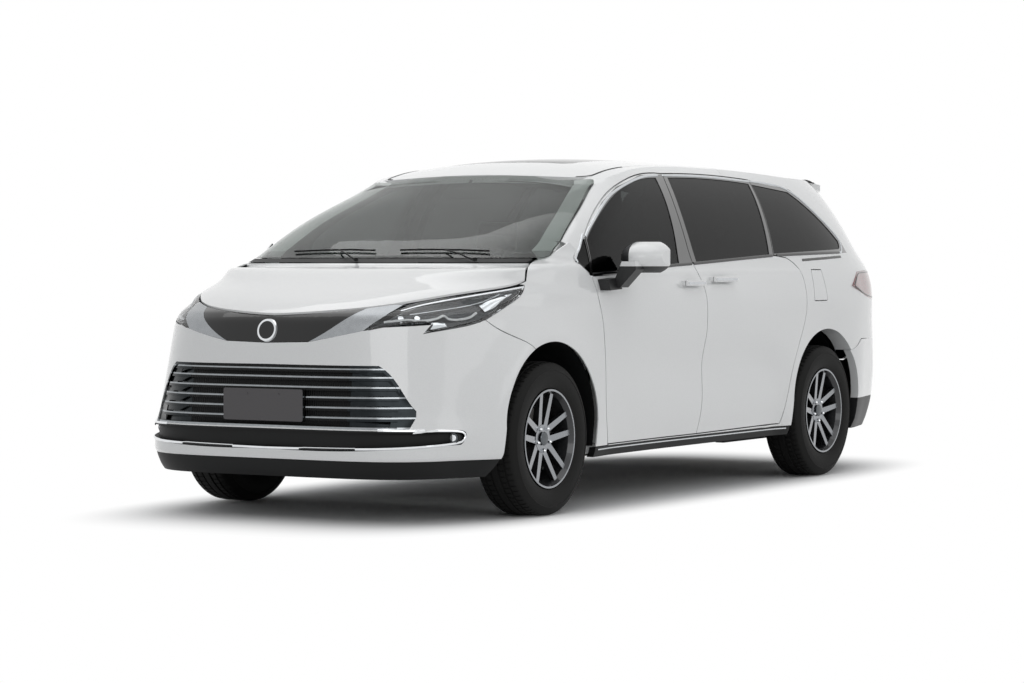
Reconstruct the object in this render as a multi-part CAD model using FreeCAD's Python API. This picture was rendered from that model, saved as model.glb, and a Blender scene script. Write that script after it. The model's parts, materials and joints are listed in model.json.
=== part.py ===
"""A seven-seat minivan: unit body, hinged front doors, sliding rear doors, bonnet, tailgate and steered wheels.

Frame: +X to the front, +Y to the left, +Z up, in millimetres. The origin is on the ground, under the middle of the
body's length. Every outer panel is cut from one skin, a rounded outline at each height, so neighbouring panels meet.
"""
import FreeCAD
import Part
import math
import os

V = FreeCAD.Vector
os.makedirs("parts", exist_ok=True)

# Running gear
WHEELBASE = 3060.0
FRONT_AXLE_X = 1594.0
REAR_AXLE_X = FRONT_AXLE_X - WHEELBASE
TRACK = 1714.0
TYRE_RADIUS = 369.0
TYRE_WIDTH = 230.0
RIM_RADIUS = 236.0
RIM_WIDTH = 206.0
SPINDLE_RADIUS = 22.0
BALL_JOINT_Y = 790.0
BALL_JOINT_Z = 215.0
STRUT_TOP_Y = 640.0
STRUT_TOP_Z = 965.0

# Body
WHEEL_Y = TRACK / 2
ARCH_HALF_LENGTH = 430.0
ARCH_CENTRE_Z = 440.0
ARCH_HEIGHT = 392.0
ARCH_LIP_Y = 981.0
BELT_Z = 1140.0
COWL_Z = 1206.0
COWL_HALF_WIDTH = 820.0
SILL_Z = 308.0
SKIRT_Z = 258.0
FLOOR_Z = 262.0
FLOOR_THICKNESS = 34.0
FLOOR_HALF_WIDTH = 760.0
REAR_STEP_Z = 520.0
ROOF_SEAM_Y = 628.0
ROOF_THICKNESS = 42.0
ROOF_CROWN = 45.0
DOOR_THICKNESS = 92.0
FRAME_THICKNESS = 44.0
DOOR_ROOM = 20.0
PILLAR_THICKNESS = 46.0
RAIL_DEPTH = 125.0
PANEL_THICKNESS = 6.0
BUMPER_THICKNESS = 46.0
GLASS_THICKNESS = 5.0
SHUT_GAP = 6.0
BONNET_GAP = 8.0
FIT = 0.3

# Joint axes
DOOR_AXIS_X = 1042.0
DOOR_AXIS_Y = 970.0
DOOR_SWING_RADIUS = 186.0
REBATE_DEPTH = 8.0
REBATE_WIDTH = 10.0
ROOF_REAR_X = -2056.0
GATE_AXIS_X = ROOF_REAR_X
GATE_AXIS_Z = 1691.0

# Grille and cabin
GRILLE_BARS = [492, 538, 584, 630, 676, 714]
FLARE_START = 440.0
STEERING_CENTRE = (700.0, 390.0, 1010.0)
STEERING_TILT = 26.0

# Number plate pads, front and rear: the pad's face, its row of holes and their size
PLATE_FRONT_X = 2585.0
PLATE_FRONT_Z = 600.0
PLATE_REAR_X = -2536.0
PLATE_REAR_Z = 915.0
PLATE_HOLE_SPACING = 178.0
PLATE_HOLE_RADIUS = 3.2

# The skin: half width, nose, tail and corner fullness against height
SKIN_FRONT_X = 400.0
SKIN_REAR_X = -700.0
SIDE_REAR_X = -1300.0
SIDE_FRONT_X = 1600.0
FRONT_SECTION = [(180, 905), (260, 940), (330, 962), (420, 972), (520, 975), (700, 978), (900, 977), (1040, 966),
                 (1140, 947), (1250, 917), (1350, 884), (1450, 843), (1550, 792), (1640, 733), (1700, 682), (1745, 620)]
DOOR_SECTION = [(180, 900), (260, 926), (330, 943), (420, 962), (500, 969), (600, 965), (680, 963), (760, 976),
                (836, 992), (900, 997), (965, 997), (1040, 989), (1140, 958), (1209, 930), (1250, 917), (1350, 884),
                (1450, 843), (1550, 792), (1640, 733), (1700, 682), (1745, 620)]
HAUNCH_SECTION = [(180, 905), (260, 938), (330, 954), (420, 968), (520, 976), (620, 981), (720, 987), (820, 991),
                  (900, 992), (965, 990), (1040, 980), (1140, 954), (1209, 929), (1250, 917), (1350, 884),
                  (1450, 843), (1550, 792), (1640, 733), (1700, 682), (1745, 620)]
NOSE_PROFILE = [(180, 2500), (260, 2552), (400, 2574), (520, 2582), (700, 2572), (850, 2556), (930, 2538),
                (968, 2505), (996, 2450), (1022, 2385), (1066, 2250), (1115, 2089), (1160, 1960), (1209, 1720),
                (1300, 1515), (1400, 1296), (1500, 1076), (1600, 850), (1650, 735), (1745, 500)]
NOSE_FULLNESS = [(180, 5.2), (400, 5.0), (510, 4.3), (736, 3.8), (900, 3.6), (998, 3.5), (1066, 4.0), (1115, 4.2),
                 (1209, 5.7), (1391, 5.8), (1509, 4.3), (1595, 3.2), (1745, 2.7)]
TAIL_PROFILE = [(180, -2480), (260, -2545), (420, -2581), (560, -2585), (700, -2572), (860, -2556), (1000, -2552),
                (1130, -2540), (1209, -2510), (1300, -2455), (1438, -2372), (1550, -2300), (1650, -2230),
                (1745, -2120)]
TAIL_FULLNESS = [(180, 5.0), (560, 5.4), (900, 5.2), (1130, 5.6), (1300, 5.0), (1745, 4.6)]
NOSE_ANGLES = [4, 12, 20, 28, 34, 39, 43, 46.5, 49.5, 52, 54, 56, 58]
KNEE_ROWS = [815, 840, 865, 888, 908, 928, 944, 958, 970, 983, 997, 1012, 1030, 1052, 1078, 1104, 1130, 1158, 1182,
             1202]
ROOF_PROFILE = [(-2360, 1650), (-2120, 1683), (-1850, 1713), (-1500, 1740), (-1100, 1757), (-700, 1765),
                (-300, 1766), (0, 1761), (300, 1744), (450, 1724), (600, 1693), (735, 1650), (800, 1624)]


def smooth(points):
    """A monotone cubic through (position, value) pairs, held flat past both ends."""
    ts = [p[0] for p in points]
    vs = [p[1] for p in points]
    steps = [(vs[i + 1] - vs[i]) / (ts[i + 1] - ts[i]) for i in range(len(ts) - 1)]
    slopes = [steps[0]]
    for before, after in zip(steps, steps[1:]):
        slopes.append(0.0 if before * after <= 0 else 2 * before * after / (before + after))
    slopes.append(steps[-1])

    def value(t):
        if t <= ts[0]:
            return vs[0]
        if t >= ts[-1]:
            return vs[-1]
        i = max(k for k in range(len(ts) - 1) if ts[k] <= t)
        h = ts[i + 1] - ts[i]
        q = (t - ts[i]) / h
        return ((1 + 2 * q) * (1 - q) ** 2 * vs[i] + q * (1 - q) ** 2 * h * slopes[i]
                + q * q * (3 - 2 * q) * vs[i + 1] + q * q * (q - 1) * h * slopes[i + 1])
    return value


front_section = smooth(FRONT_SECTION)
door_section = smooth(DOOR_SECTION)
haunch_section = smooth(HAUNCH_SECTION)
nose_x = smooth(NOSE_PROFILE)
nose_fullness = smooth(NOSE_FULLNESS)
tail_x = smooth(TAIL_PROFILE)
tail_fullness = smooth(TAIL_FULLNESS)
roof_line = smooth(ROOF_PROFILE)


def fade(t):
    """0 below 0 and 1 above 1, smooth between."""
    t = min(max(t, 0.0), 1.0)
    return t * t * (3 - 2 * t)


def half_width(x, z):
    """The side's half width: flat at the wings, scooped along the doors and full over the rear wheels."""
    wing = fade((x - 350) / 750)
    haunch = fade((-250 - 1.3 * max(900 - z, 0) - x) / 520)
    door = max(1 - wing - haunch, 0.0)
    return wing * front_section(z) + haunch * haunch_section(z) + door * door_section(z)


def arch_pull(x, z):
    """How far the skin is drawn out to the wheel arches' lip: 1 on the lip, 0 away from it."""
    pull = 0.0
    for axle in (FRONT_AXLE_X, REAR_AXLE_X):
        across = (x - axle) / ARCH_HALF_LENGTH
        up = max(z - ARCH_CENTRE_Z, 0) / ARCH_HEIGHT
        ring = (math.hypot(across, up) - 1) / 0.26
        pull = max(pull, math.exp(-ring * ring))
    return pull * fade((z - 150) / 200)


def skin_point(x, y, z, inset=0.0):
    if y > 0.8 * ARCH_LIP_Y:
        y += (ARCH_LIP_Y - inset - y) * arch_pull(x, z) * fade((y - 0.8 * ARCH_LIP_Y) / 60)
    return V(x, y, z)


def front_point(angle, z, inset=0.0):
    """The skin round the nose: angle 0 is the centre line, 90 is where the straight side begins."""
    c, s = math.cos(math.radians(angle)), math.sin(math.radians(angle))
    n = nose_fullness(z)
    k = (abs(c) ** n + abs(s) ** n) ** (1 / n)
    x = SKIN_FRONT_X + (nose_x(z) - inset - SKIN_FRONT_X) * c / k
    y = (half_width(x, z) - inset) * abs(s) / k
    p = skin_point(x, y, z, inset)
    return V(p.x, math.copysign(p.y, s), p.z)


def rear_point(angle, z, inset=0.0):
    """The skin round the tail: angle 0 is the centre line, 90 is where the straight side begins."""
    c, s = math.cos(math.radians(angle)), math.sin(math.radians(angle))
    n = tail_fullness(z)
    k = (abs(c) ** n + abs(s) ** n) ** (1 / n)
    x = SKIN_REAR_X + (tail_x(z) + inset - SKIN_REAR_X) * c / k
    y = (half_width(x, z) - inset) * abs(s) / k
    p = skin_point(x, y, z, inset)
    return V(p.x, math.copysign(p.y, s), p.z)


def side_point(x, z, inset=0.0):
    """The skin on the left side, as a width at each length and height."""
    if x > SKIN_FRONT_X:
        q, n = (x - SKIN_FRONT_X) / (nose_x(z) - SKIN_FRONT_X), nose_fullness(z)
    else:
        q, n = max(SKIN_REAR_X - x, 0) / (SKIN_REAR_X - tail_x(z)), tail_fullness(z)
    y = half_width(x, z) * (1 - min(q, 0.995) ** n) ** (1 / n) - inset
    return skin_point(x, y, z, inset)


def roof_point(x, y, inset=0.0):
    crown = ROOF_CROWN * (1 - 0.5 * fade((-1400 - x) / 700))
    return V(x, y, roof_line(x) - crown * (y / ROOF_SEAM_Y) ** 2 - inset)


def window_point(u, z):
    """The left side above the belt, u running from behind the rear seat to just short of the windshield."""
    front = SKIN_FRONT_X + 0.93 * (nose_x(z) - SKIN_FRONT_X)
    return side_point(SIDE_REAR_X + u * (front - SIDE_REAR_X), z)


def spaced(low, high, count):
    return [low + (high - low) * i / (count - 1) for i in range(count)]


def patch(point, us, vs):
    """One smooth face through point(u, v) at every pair of the two lists."""
    surface = Part.BSplineSurface()
    surface.interpolate([[point(u, v) for v in vs] for u in us])
    return surface


def upright(solid):
    return solid.reversed() if solid.Volume < 0 else solid


def stretched(face, along):
    return upright(face.extrude(along))


def wall(point, us, vs, thickness):
    """A closed wall between the skin and a copy set inwards, through point(u, v, inset)."""
    outer = patch(lambda u, v: point(u, v, 0.0), us, vs)
    inner = patch(lambda u, v: point(u, v, thickness), us, vs)
    faces = [outer.toShape(), inner.toShape()]
    u0, u1, v0, v1 = outer.bounds()
    a0, a1, b0, b1 = inner.bounds()
    for one, other in ((outer.uIso(u0), inner.uIso(a0)), (outer.uIso(u1), inner.uIso(a1)),
                       (outer.vIso(v0), inner.vIso(b0)), (outer.vIso(v1), inner.vIso(b1))):
        faces.append(Part.makeRuledSurface(one.toShape(), other.toShape()))
    shell = Part.makeShell(faces)
    shell.sewShape()
    return upright(Part.makeSolid(shell))


def loop(runs, lift):
    """A closed wire. Each run starts where the last ended: one point is straight, more are a smooth curve."""
    edges = []
    start = runs[-1][-1]
    for run in runs:
        points = [lift(*p) for p in [start] + run]
        if len(points) == 2:
            edges.append(Part.LineSegment(*points).toShape())
        else:
            curve = Part.BSplineCurve()
            curve.interpolate(points)
            edges.append(curve.toShape())
        start = run[-1]
    return Part.Wire(edges)


def grown(wire, by):
    """A flat face inside the wire moved outwards, with each moved curve drawn again as a plain spline."""
    face = Part.Face(wire)
    if by == 0:
        return face
    edges = []
    for edge in face.makeOffset2D(by).OuterWire.OrderedEdges:
        if edge.Curve.TypeId in ("Part::GeomLine", "Part::GeomCircle"):
            edges.append(edge)
        else:
            curve = Part.BSplineCurve()
            curve.interpolate(edge.discretize(24))
            edges.append(curve.toShape())
    return Part.Face(Part.Wire(edges))


def side_prism(runs, grow=0.0, y0=0.0, y1=1200.0):
    """A prism along Y through an outline in X and Z."""
    face = grown(loop(runs, lambda x, z: V(x, 0, z)), grow)
    face.translate(V(0, y0, 0))
    return stretched(face, V(0, y1 - y0, 0))


def top_prism(runs, grow=0.0, z0=0.0, z1=2000.0):
    """A prism along Z through an outline in Y and X."""
    face = grown(loop(runs, lambda y, x: V(x, y, 0)), grow)
    face.translate(V(0, 0, z0))
    return stretched(face, V(0, 0, z1 - z0))


def end_prism(runs, grow=0.0, x0=0.0, x1=2800.0):
    """A prism along X through an outline in Y and Z."""
    face = grown(loop(runs, lambda y, z: V(0, y, z)), grow)
    face.translate(V(x0, 0, 0))
    return stretched(face, V(x1 - x0, 0, 0))


def box(x0, x1, y0, y1, z0, z1):
    return Part.makeBox(x1 - x0, y1 - y0, z1 - z0, V(x0, y0, z0))


def rod(start, end, radius):
    start, end = V(*start), V(*end)
    return Part.makeCylinder(radius, (end - start).Length, start, end - start)


def mirrored(shape):
    return shape.mirror(V(0, 0, 0), V(0, 1, 0))


def both(shape):
    return [shape, mirrored(shape)]


def joined(shapes):
    first, rest = shapes[0], shapes[1:]
    return first.fuse(rest).removeSplitter() if rest else first


def save(name, solids):
    """Write a node's solids to its own file."""
    solids = solids if isinstance(solids, list) else [solids]
    flat = [s for shape in solids for s in shape.Solids]
    shape = flat[0] if len(flat) == 1 else Part.makeCompound(flat)
    shape.exportStep("parts/" + name + ".step")
    print(name, len(flat), "solids", round(shape.Volume / 1e6, 2), "litres", "" if shape.isValid() else "NOT VALID")


def symmetric(start, runs):
    """An outline symmetric about the centre line: from start, on that line, down the left side and back up."""
    back = []
    for i in reversed(range(len(runs))):
        before = runs[i - 1][-1] if i else start
        back.append([(-y, v) for y, v in reversed(runs[i][:-1])] + [(-before[0], before[1])])
    return runs + back


def arch(axle, low_z, shrink=0.0):
    """The wheel arch's outline on the side: half an ellipse on two nearly upright edges."""
    half, top = ARCH_HALF_LENGTH - shrink, ARCH_HEIGHT - shrink
    angles = [math.radians(a) for a in range(15, 180, 15)]
    crown = [(axle + half * math.cos(a), ARCH_CENTRE_Z + top * math.sin(a)) for a in angles]
    front, rear = axle + half, axle - half
    foot = 0.16 * (ARCH_CENTRE_Z - low_z)
    return [[(front + foot, low_z)], [(front, ARCH_CENTRE_Z)], crown + [(rear, ARCH_CENTRE_Z)], [(rear + foot, low_z)]]


# Outlines on the left side, in X and Z
FRONT_SEAM = [(1076, 450), (1084, 600), (1086, 746), (1099, 896), (1124, 1018), (1159, 1136)]
DOOR_FOOT = (1043, 315)
WINDOW_ARC = [(1036, 1394), (803, 1512), (582, 1597), (275, 1662), (10, 1672)]
MIDDLE_SEAM = [(64, 1532), (92, 1349), (84, 1200), (48, 1090), (40, 940), (40, 700), (46, 500), (56, 315)]
SLIDE_REAR_SEAM = [(-1100, 1212), (-1180, 1150), (-1190, 1069), (-1150, 880), (-1080, 740), (-1018, 620),
                   (-940, 420), (-907, 322)]
FRONT_DOOR = [FRONT_SEAM, [(1114, 1338)], WINDOW_ARC, MIDDLE_SEAM, [DOOR_FOOT]]
SLIDE_DOOR = [list(reversed(MIDDLE_SEAM[:-1])) + [(10, 1672)], [(-440, 1679), (-990, 1662)], [(-895, 1245)],
              [(-1040, 1232)], SLIDE_REAR_SEAM, [MIDDLE_SEAM[-1]]]
FRONT_GLASS = [[(1148, 1158)], [(1106, 1318)], [(1028, 1372), (796, 1490), (578, 1574), (290, 1636), (112, 1648)],
               [(180, 1400), (236, 1199)]]
SLIDE_GLASS = [[(20, 1532), (46, 1349), (40, 1210)], [(-846, 1247)], [(-957, 1640)], [(-440, 1657), (-24, 1652)]]
QUARTER_GLASS = [[(-906, 1254)], [(-1806, 1282)], [(-1838, 1300), (-1842, 1330)], [(-1640, 1472), (-1405, 1603)],
                 [(-990, 1636)]]
WEDGE = [[(1164, 1142)], [(1252, 1212)], [(1256, 1230)], [(1123, 1332)]]
LAMP = [[(2000, 1061), (2231, 1024), (2342, 993), (2427, 956), (2493, 895)], [(2405, 921), (2276, 934)],
        [(2329, 880)], [(2214, 899), (2031, 935), (1922, 977), (1761, 1047), (1696, 1098)]]
FUEL_DOOR = [[(-1452, 1165)], [(-1456, 1000)], [(-1448, 992)], [(-1290, 992)], [(-1284, 1000)], [(-1318, 1158)],
             [(-1326, 1165)]]

# Outlines on the front and the back, in Y and Z, from the centre line round the left side
GRILLE = symmetric((0, 738), [[(578, 736)], [(616, 706), (678, 615), (731, 530)], [(734, 500)], [(722, 447)],
                              [(0, 447)]])
INTAKE = symmetric((0, 441), [[(856, 441)], [(879, 426), (880, 404), (866, 373)], [(690, 358), (0, 347)]])
INSERT = symmetric((0, 960), [[(152, 966), (326, 981), (456, 996)], [(330, 895), (230, 843)], [(0, 836)]])
BAND = symmetric((0, 1100), [[(700, 1100)], [(597, 1019)], [(565, 958)], [(500, 895)], [(334, 860), (230, 841)],
                             [(0, 835)]])
WING = [[(597, 1019)], [(565, 958)], [(500, 895)], [(334, 860), (230, 842)], [(330, 895), (457, 996)]]
WINDSHIELD = symmetric((0, 1229), [[(846, 1229)], [(860, 1242)], [(853, 1275), (804, 1420), (752, 1508), (697, 1600)],
                                   [(668, 1634)], [(640, 1700)], [(0, 1700)]])
TAILGATE = symmetric((0, 1700), [[(560, 1690)], [(640, 1640)], [(730, 1420), (800, 1210)], [(806, 900)],
                                 [(760, 700)], [(600, 622)], [(0, 622)]])
TAILGATE_GLASS = symmetric((0, 1600), [[(560, 1588)], [(600, 1560)], [(660, 1400), (706, 1230)], [(690, 1205)],
                                       [(0, 1205)]])

# Outlines in plan, in Y and X
BONNET = symmetric((0, 2500), [[(152, 2488), (326, 2450), (450, 2394), (591, 2275), (748, 2042), (821, 1866),
                                (867, 1676)], [(825, 1562)], [(810, 1500)], [(0, 1500)]])
BONNET_FRAME = symmetric((0, 2400), [[(300, 2360), (560, 2190), (690, 1990), (735, 1840)], [(640, 1790)], [(0, 1790)]])
ROOF = symmetric((0, 727), [[(211, 722), (420, 700), (560, 662), (ROOF_SEAM_Y - 4, 628)], [(ROOF_SEAM_Y - 4, ROOF_REAR_X)],
                            [(0, ROOF_REAR_X)]])
SUNROOF = symmetric((0, 420), [[(330, 400)], [(372, 360)], [(372, -560)], [(340, -600)], [(0, -610)]])
SPOILER = symmetric((0, ROOF_REAR_X - SHUT_GAP), [[(612, ROOF_REAR_X - SHUT_GAP)], [(620, -2130)],
                                                  [(520, -2250), (300, -2312), (0, -2328)]])

# Outlines of what the body side's layers cover, in X and Z
FENDER = [FRONT_SEAM, [(1260, 1209)], [(1264, 1230)], [(1236, 1272)], [(1290, 1308)], [(1429, 1233)], [(1562, 1206)],
          [(1800, 1206)], [(1800, 1110)], [(1696, 1098)], [(1761, 1047), (1922, 977), (2012, 940)],
          [(1933, 888), (1838, 842), (1735, 776)], [(1600, 600)], [(1300, SILL_Z)], [(1043, SILL_Z)]]
BODY_LOW = [[(1148, FLOOR_Z)], [(1148, BELT_Z)], [(SKIN_REAR_X, BELT_Z)], [(SKIN_REAR_X, FLOOR_Z)]]
BODY_HIGH = [[(1148, BELT_Z)], [(1380, 1190)], [(1380, 1262)], [(1290, 1308)], [(1088, 1420), (897, 1508), (690, 1601)],
             [(640, 1636)], [(560, 1790)], [(SKIN_REAR_X, 1790)], [(SKIN_REAR_X, BELT_Z)]]
TAIL_LAMP = [[(-1971, 1150)], [(-2300, 1158), (-2560, 1140)], [(-2600, 1000)], [(-2350, 985), (-2050, 1010)],
             [(-1842, 1073)]]


def cut_by(shape, *tools):
    for tool in tools:
        shape = shape.cut(tool)
    return shape


def largest(shape):
    """The main solid of a cut shape, without the slivers that a cut along a seam leaves."""
    return max(shape.Solids, key=lambda solid: solid.Volume)


def both_prisms(runs, grow=0.0, y0=0.0):
    prism = side_prism(runs, grow, y0)
    return [prism, mirrored(prism)]


below_belt = box(-3000, 3000, -1200, 1200, 0, BELT_Z)
above_belt = box(-3000, 3000, -1200, 1200, BELT_Z, 2000)
below_belt_room = box(-3000, 3000, -1200, 1200, 0, BELT_Z + SHUT_GAP)
door_skin = patch(side_point, spaced(SIDE_REAR_X, SIDE_FRONT_X, 22),
                  [250, 290, 340, 400, 460, 520, 600, 680, 760, 840, 900, 965, 1040, 1090, 1150]).toShape()
window_skin = patch(window_point, spaced(-0.2, 1, 26),
                    [1130, 1170, 1215, 1265, 1320, 1400, 1480, 1560, 1620, 1670, 1710, 1742]).toShape()
roof_skin = patch(roof_point, spaced(-2400, 800, 22), spaced(-800, 800, 9)).toShape()
above_roof = stretched(roof_skin, V(0, 0, 400))


def layers(outline, grow, depths, shift, along):
    """What lies inside an outline on the left side, made from the skin's two faces and parted at the belt."""
    prism = side_prism(outline, grow)
    solids = []
    low_part = below_belt_room if shift else below_belt
    for skin, depth, part in ((door_skin, depths[0], low_part), (window_skin, depths[1], above_belt)):
        for face in skin.common(prism).Faces:
            face.translate(V(0, -depth * shift, 0))
            solids.append(stretched(face, V(0, along - depth * (1 - shift), 0)).common(part))
    return [solid for solid in solids if solid.Volume > 1]


def side_panel(outline, low_depth, high_depth, grow=0.0):
    """A panel between the left skin and a copy moved inwards, deeper below the belt than above it."""
    return joined(layers(outline, grow, (low_depth, high_depth), 0, 0))


def side_pocket(outline, low_depth, high_depth, grow=0.0):
    """What a panel's seat takes out of the left side, from below the panel outwards."""
    return layers(outline, grow, (low_depth, high_depth), 1, 500)


def cut_out(skin, prism, along):
    """The part of a skin face inside a prism, made solid along a vector."""
    return stretched(max(skin.common(prism).Faces, key=lambda face: face.Area), along)


def pane(outline):
    face = window_skin.copy()
    face.translate(V(0, -4, 0))
    return cut_out(face, side_prism(outline, -FIT), V(0, -GLASS_THICKNESS, 0))


def half_front_wall(z0, z1, thickness, count):
    return wall(front_point, [-4] + NOSE_ANGLES, spaced(z0, z1, count), thickness)


def rear_wall(angles, z0, z1, thickness, count, outside=0):
    return wall(lambda a, z, i: rear_point(a, z, i - outside), angles, spaced(z0, z1, count), thickness + outside)


# Body side: sill, pillars, roof rail and quarter panel
def body_side():
    pocket_depth = DOOR_THICKNESS + DOOR_ROOM
    frame_depth = FRAME_THICKNESS + 14
    low = stretched(door_skin, V(0, -pocket_depth - PILLAR_THICKNESS, 0)).common(side_prism(BODY_LOW))
    high = cut_out(window_skin, side_prism(BODY_HIGH), V(0, -RAIL_DEPTH, 0))
    quarter = rear_wall(spaced(30, 90, 16), 256, 1742, 100, 24)
    body = joined([low, high, quarter])
    half = SHUT_GAP / 2
    tools = side_pocket(FRONT_DOOR, pocket_depth, frame_depth, half)
    tools += side_pocket(SLIDE_DOOR, pocket_depth, frame_depth, half)
    tools += side_pocket([[(1030, 0)], [(1300, 0)], [(1300, 1152)], [(1030, 1152)]], pocket_depth, pocket_depth)
    tools += side_pocket(FENDER, pocket_depth, 36, FIT)
    tools += side_pocket(WEDGE, 30, 12, FIT)
    tools += side_pocket([[(1200, 0)], [(-1100, 0)], [(-1100, SILL_Z)], [(1200, SILL_Z)]], 36, 36)
    swing = Part.makeCylinder(DOOR_SWING_RADIUS, BELT_Z + 290, V(DOOR_AXIS_X, DOOR_AXIS_Y, 0))
    tools += [swing.common(side_prism(FRONT_DOOR, half))]
    tools += [side_prism(FRONT_DOOR, -36), side_prism(SLIDE_DOOR, -36), side_prism(QUARTER_GLASS)]
    tools += [side_prism(arch(REAR_AXLE_X, 100), 0, 560)]
    tools += [side_prism([[(-1740, 700)], [(-1860, 722), (-1950, 766)], [(-2800, 766)], [(-2800, 0)], [(-1740, 0)]])]
    tools += [above_roof]
    sunk_roof = roof_skin.copy()
    sunk_roof.translate(V(0, 0, -ROOF_THICKNESS - 1.5))
    tools += [stretched(sunk_roof, V(0, 0, 400)).common(top_prism(ROOF, 3))]
    gate_room = rear_wall(spaced(-66, 66, 23), 560, 1742, 78, 18, 60).common(end_prism(TAILGATE, half, -2800, -1800))
    tools += [gate_room]
    hinge = V(GATE_AXIS_X, 0, GATE_AXIS_Z)
    swung = [gate_room.common(box(-2600, -1800, 600, 900, 900, 1600)).rotated(hinge, V(0, 1, 0), angle)
             for angle in (4, 8, 13, 20, 30)]
    tools += swung
    tools += [end_prism(TAILGATE, -28, -2800, -1800)]
    tools += [box(-3000, 3000, -400, FLOOR_HALF_WIDTH, 0, FLOOR_Z + FLOOR_THICKNESS + FIT)]
    tools += [rear_wall(spaced(30, 90, 16), 950, 1200, 44, 8, 60).common(side_prism(TAIL_LAMP, FIT))]
    return largest(cut_by(body, *tools))


def make_body():
    left = body_side()
    save("body_side_right", mirrored(left))
    flap_skin = patch(rear_point, spaced(45, 89, 12), [960, 1000, 1050, 1100, 1150, 1190]).toShape()
    save("fuel_door", cut_out(flap_skin, side_prism(FUEL_DOOR, -2.5), V(0, -4, 0)))
    flap_skin.translate(V(0, -30, 0))
    save("body_side_left", left.cut(cut_out(flap_skin, side_prism(FUEL_DOOR, 3), V(0, 200, 0))))


def pull_handle(x0, x1, z):
    """A bar grip on two feet that end inside the door's skin."""
    y = side_point((x0 + x1) / 2, z).y
    bar = box(x0, x1, y + 22, y + 38, z - 14, z + 14)
    bar = bar.makeFillet(6, bar.Edges)
    feet = [box(x, x + 34, y - 8, y + 30, z - 11, z + 11) for x in (x0 + 8, x1 - 42)]
    return joined([bar] + feet)


def make_side_doors():
    for name, outline, opening, handle in (("front_door", FRONT_DOOR, FRONT_GLASS, pull_handle(72, 288, 1100)),
                                           ("slide_door", SLIDE_DOOR, SLIDE_GLASS, pull_handle(-304, -36, 1118))):
        shell = side_panel(outline, DOOR_THICKNESS, FRAME_THICKNESS, -SHUT_GAP / 2)
        shell = joined([shell.cut(side_prism(opening)), handle])
        if name == "front_door":
            rebate = layers(SLIDE_DOOR, SHUT_GAP / 2 + REBATE_WIDTH, (REBATE_DEPTH, REBATE_DEPTH), 1, -150)
            shell = largest(cut_by(shell, *rebate))
        save(name + "_left", shell)
        save(name + "_right", mirrored(shell))
    front, slide = pane(FRONT_GLASS), pane(SLIDE_GLASS)
    save("front_door_glass_left", front)
    save("front_door_glass_right", mirrored(front))
    save("slide_door_glass", both(slide))
    save("fixed_side_glass", both(pane(QUARTER_GLASS)) + both(pane(WEDGE)))


def make_mirrors():
    """A mirror on each front door: a foot that follows the skin, an arm and a rounded head."""
    skin = door_skin.copy()
    skin.translate(V(0, FIT, 0))
    foot = stretched(skin, V(0, 58, 0)).common(side_prism([[(992, 1076)], [(1104, 1070)], [(1112, 1124)], [(1006, 1132)]]))
    arm = end_prism([[(1004, 1084)], [(1032, 1084)], [(1120, 1172)], [(1112, 1212)], [(1040, 1212)], [(1004, 1132)]],
                    0, 958, 1040)
    egg = FreeCAD.Matrix()
    egg.scale(1.72, 1.26, 0.86)
    head = Part.makeSphere(100).transformGeometry(egg)
    head.translate(V(836, 1082, 1232))
    head = head.common(box(828, 1008, 966, 1196, 1156, 1308))
    mirror = joined([foot, arm, head])
    save("mirror_left", mirror)
    save("mirror_right", mirrored(mirror))


def make_skirts():
    outline = [[(1186, SKIRT_Z)], [(1186, SILL_Z - 2)], [(-1000, SILL_Z - 2)], [(-1000, SKIRT_Z)]]
    save("side_skirts", both(side_panel(outline, 35.5, 35.5)))


def make_wipers():
    """Each wiper: a pivot on the cowl, an arm and a blade lying just over the windshield."""
    wipers = []
    for pivot, blade in (((33, 1215), [(34, 1262), (26, 1268), (17, 1270), (7, 1268)]),
                         ((-4, 1215), [(-2, 1266), (-10, 1270), (-20, 1268), (-29, 1262)])):
        foot = front_point(pivot[0], pivot[1], -20)
        points = [front_point(a, z, -20) for a, z in blade]
        profile = Part.Wire(Part.makeCircle(4.5, points[0], points[1] - points[0]))
        rubber = Part.makePolygon(points).makePipeShell([profile], True, False, 1)
        middle = (points[1] + points[2]) * 0.5
        knee = (foot + middle) * 0.5 + V(16, 0, 10)
        arm = [rod(foot, knee, 4), Part.makeSphere(4, knee), rod(knee, middle, 4)]
        wipers.append(joined([upright(rubber), Part.makeCylinder(11, 14, foot - V(0, 0, 1), V(0, 0, 1))] + arm))
    save("wipers", wipers)


def make_roof():
    slab = stretched(roof_skin, V(0, 0, -ROOF_THICKNESS))
    save("roof_panel", slab.common(top_prism(ROOF)).cut(top_prism(SUNROOF)))
    save("sunroof", stretched(roof_skin, V(0, 0, -8)).common(top_prism(SUNROOF, -FIT)))


def make_front_glass():
    skin = patch(front_point, spaced(-80, 80, 25), [1215, 1260, 1310, 1380, 1450, 1520, 1580, 1630, 1670]).toShape()
    glass = stretched(skin, V(-4, 0, -5)).common(end_prism(WINDSHIELD))
    glass = cut_by(glass, above_roof, top_prism(ROOF, 4, 1400), *both_prisms(BODY_HIGH, 3, 300))
    glass = cut_by(glass, *both_prisms(FENDER, 2, 300))
    save("windshield", glass)


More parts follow.
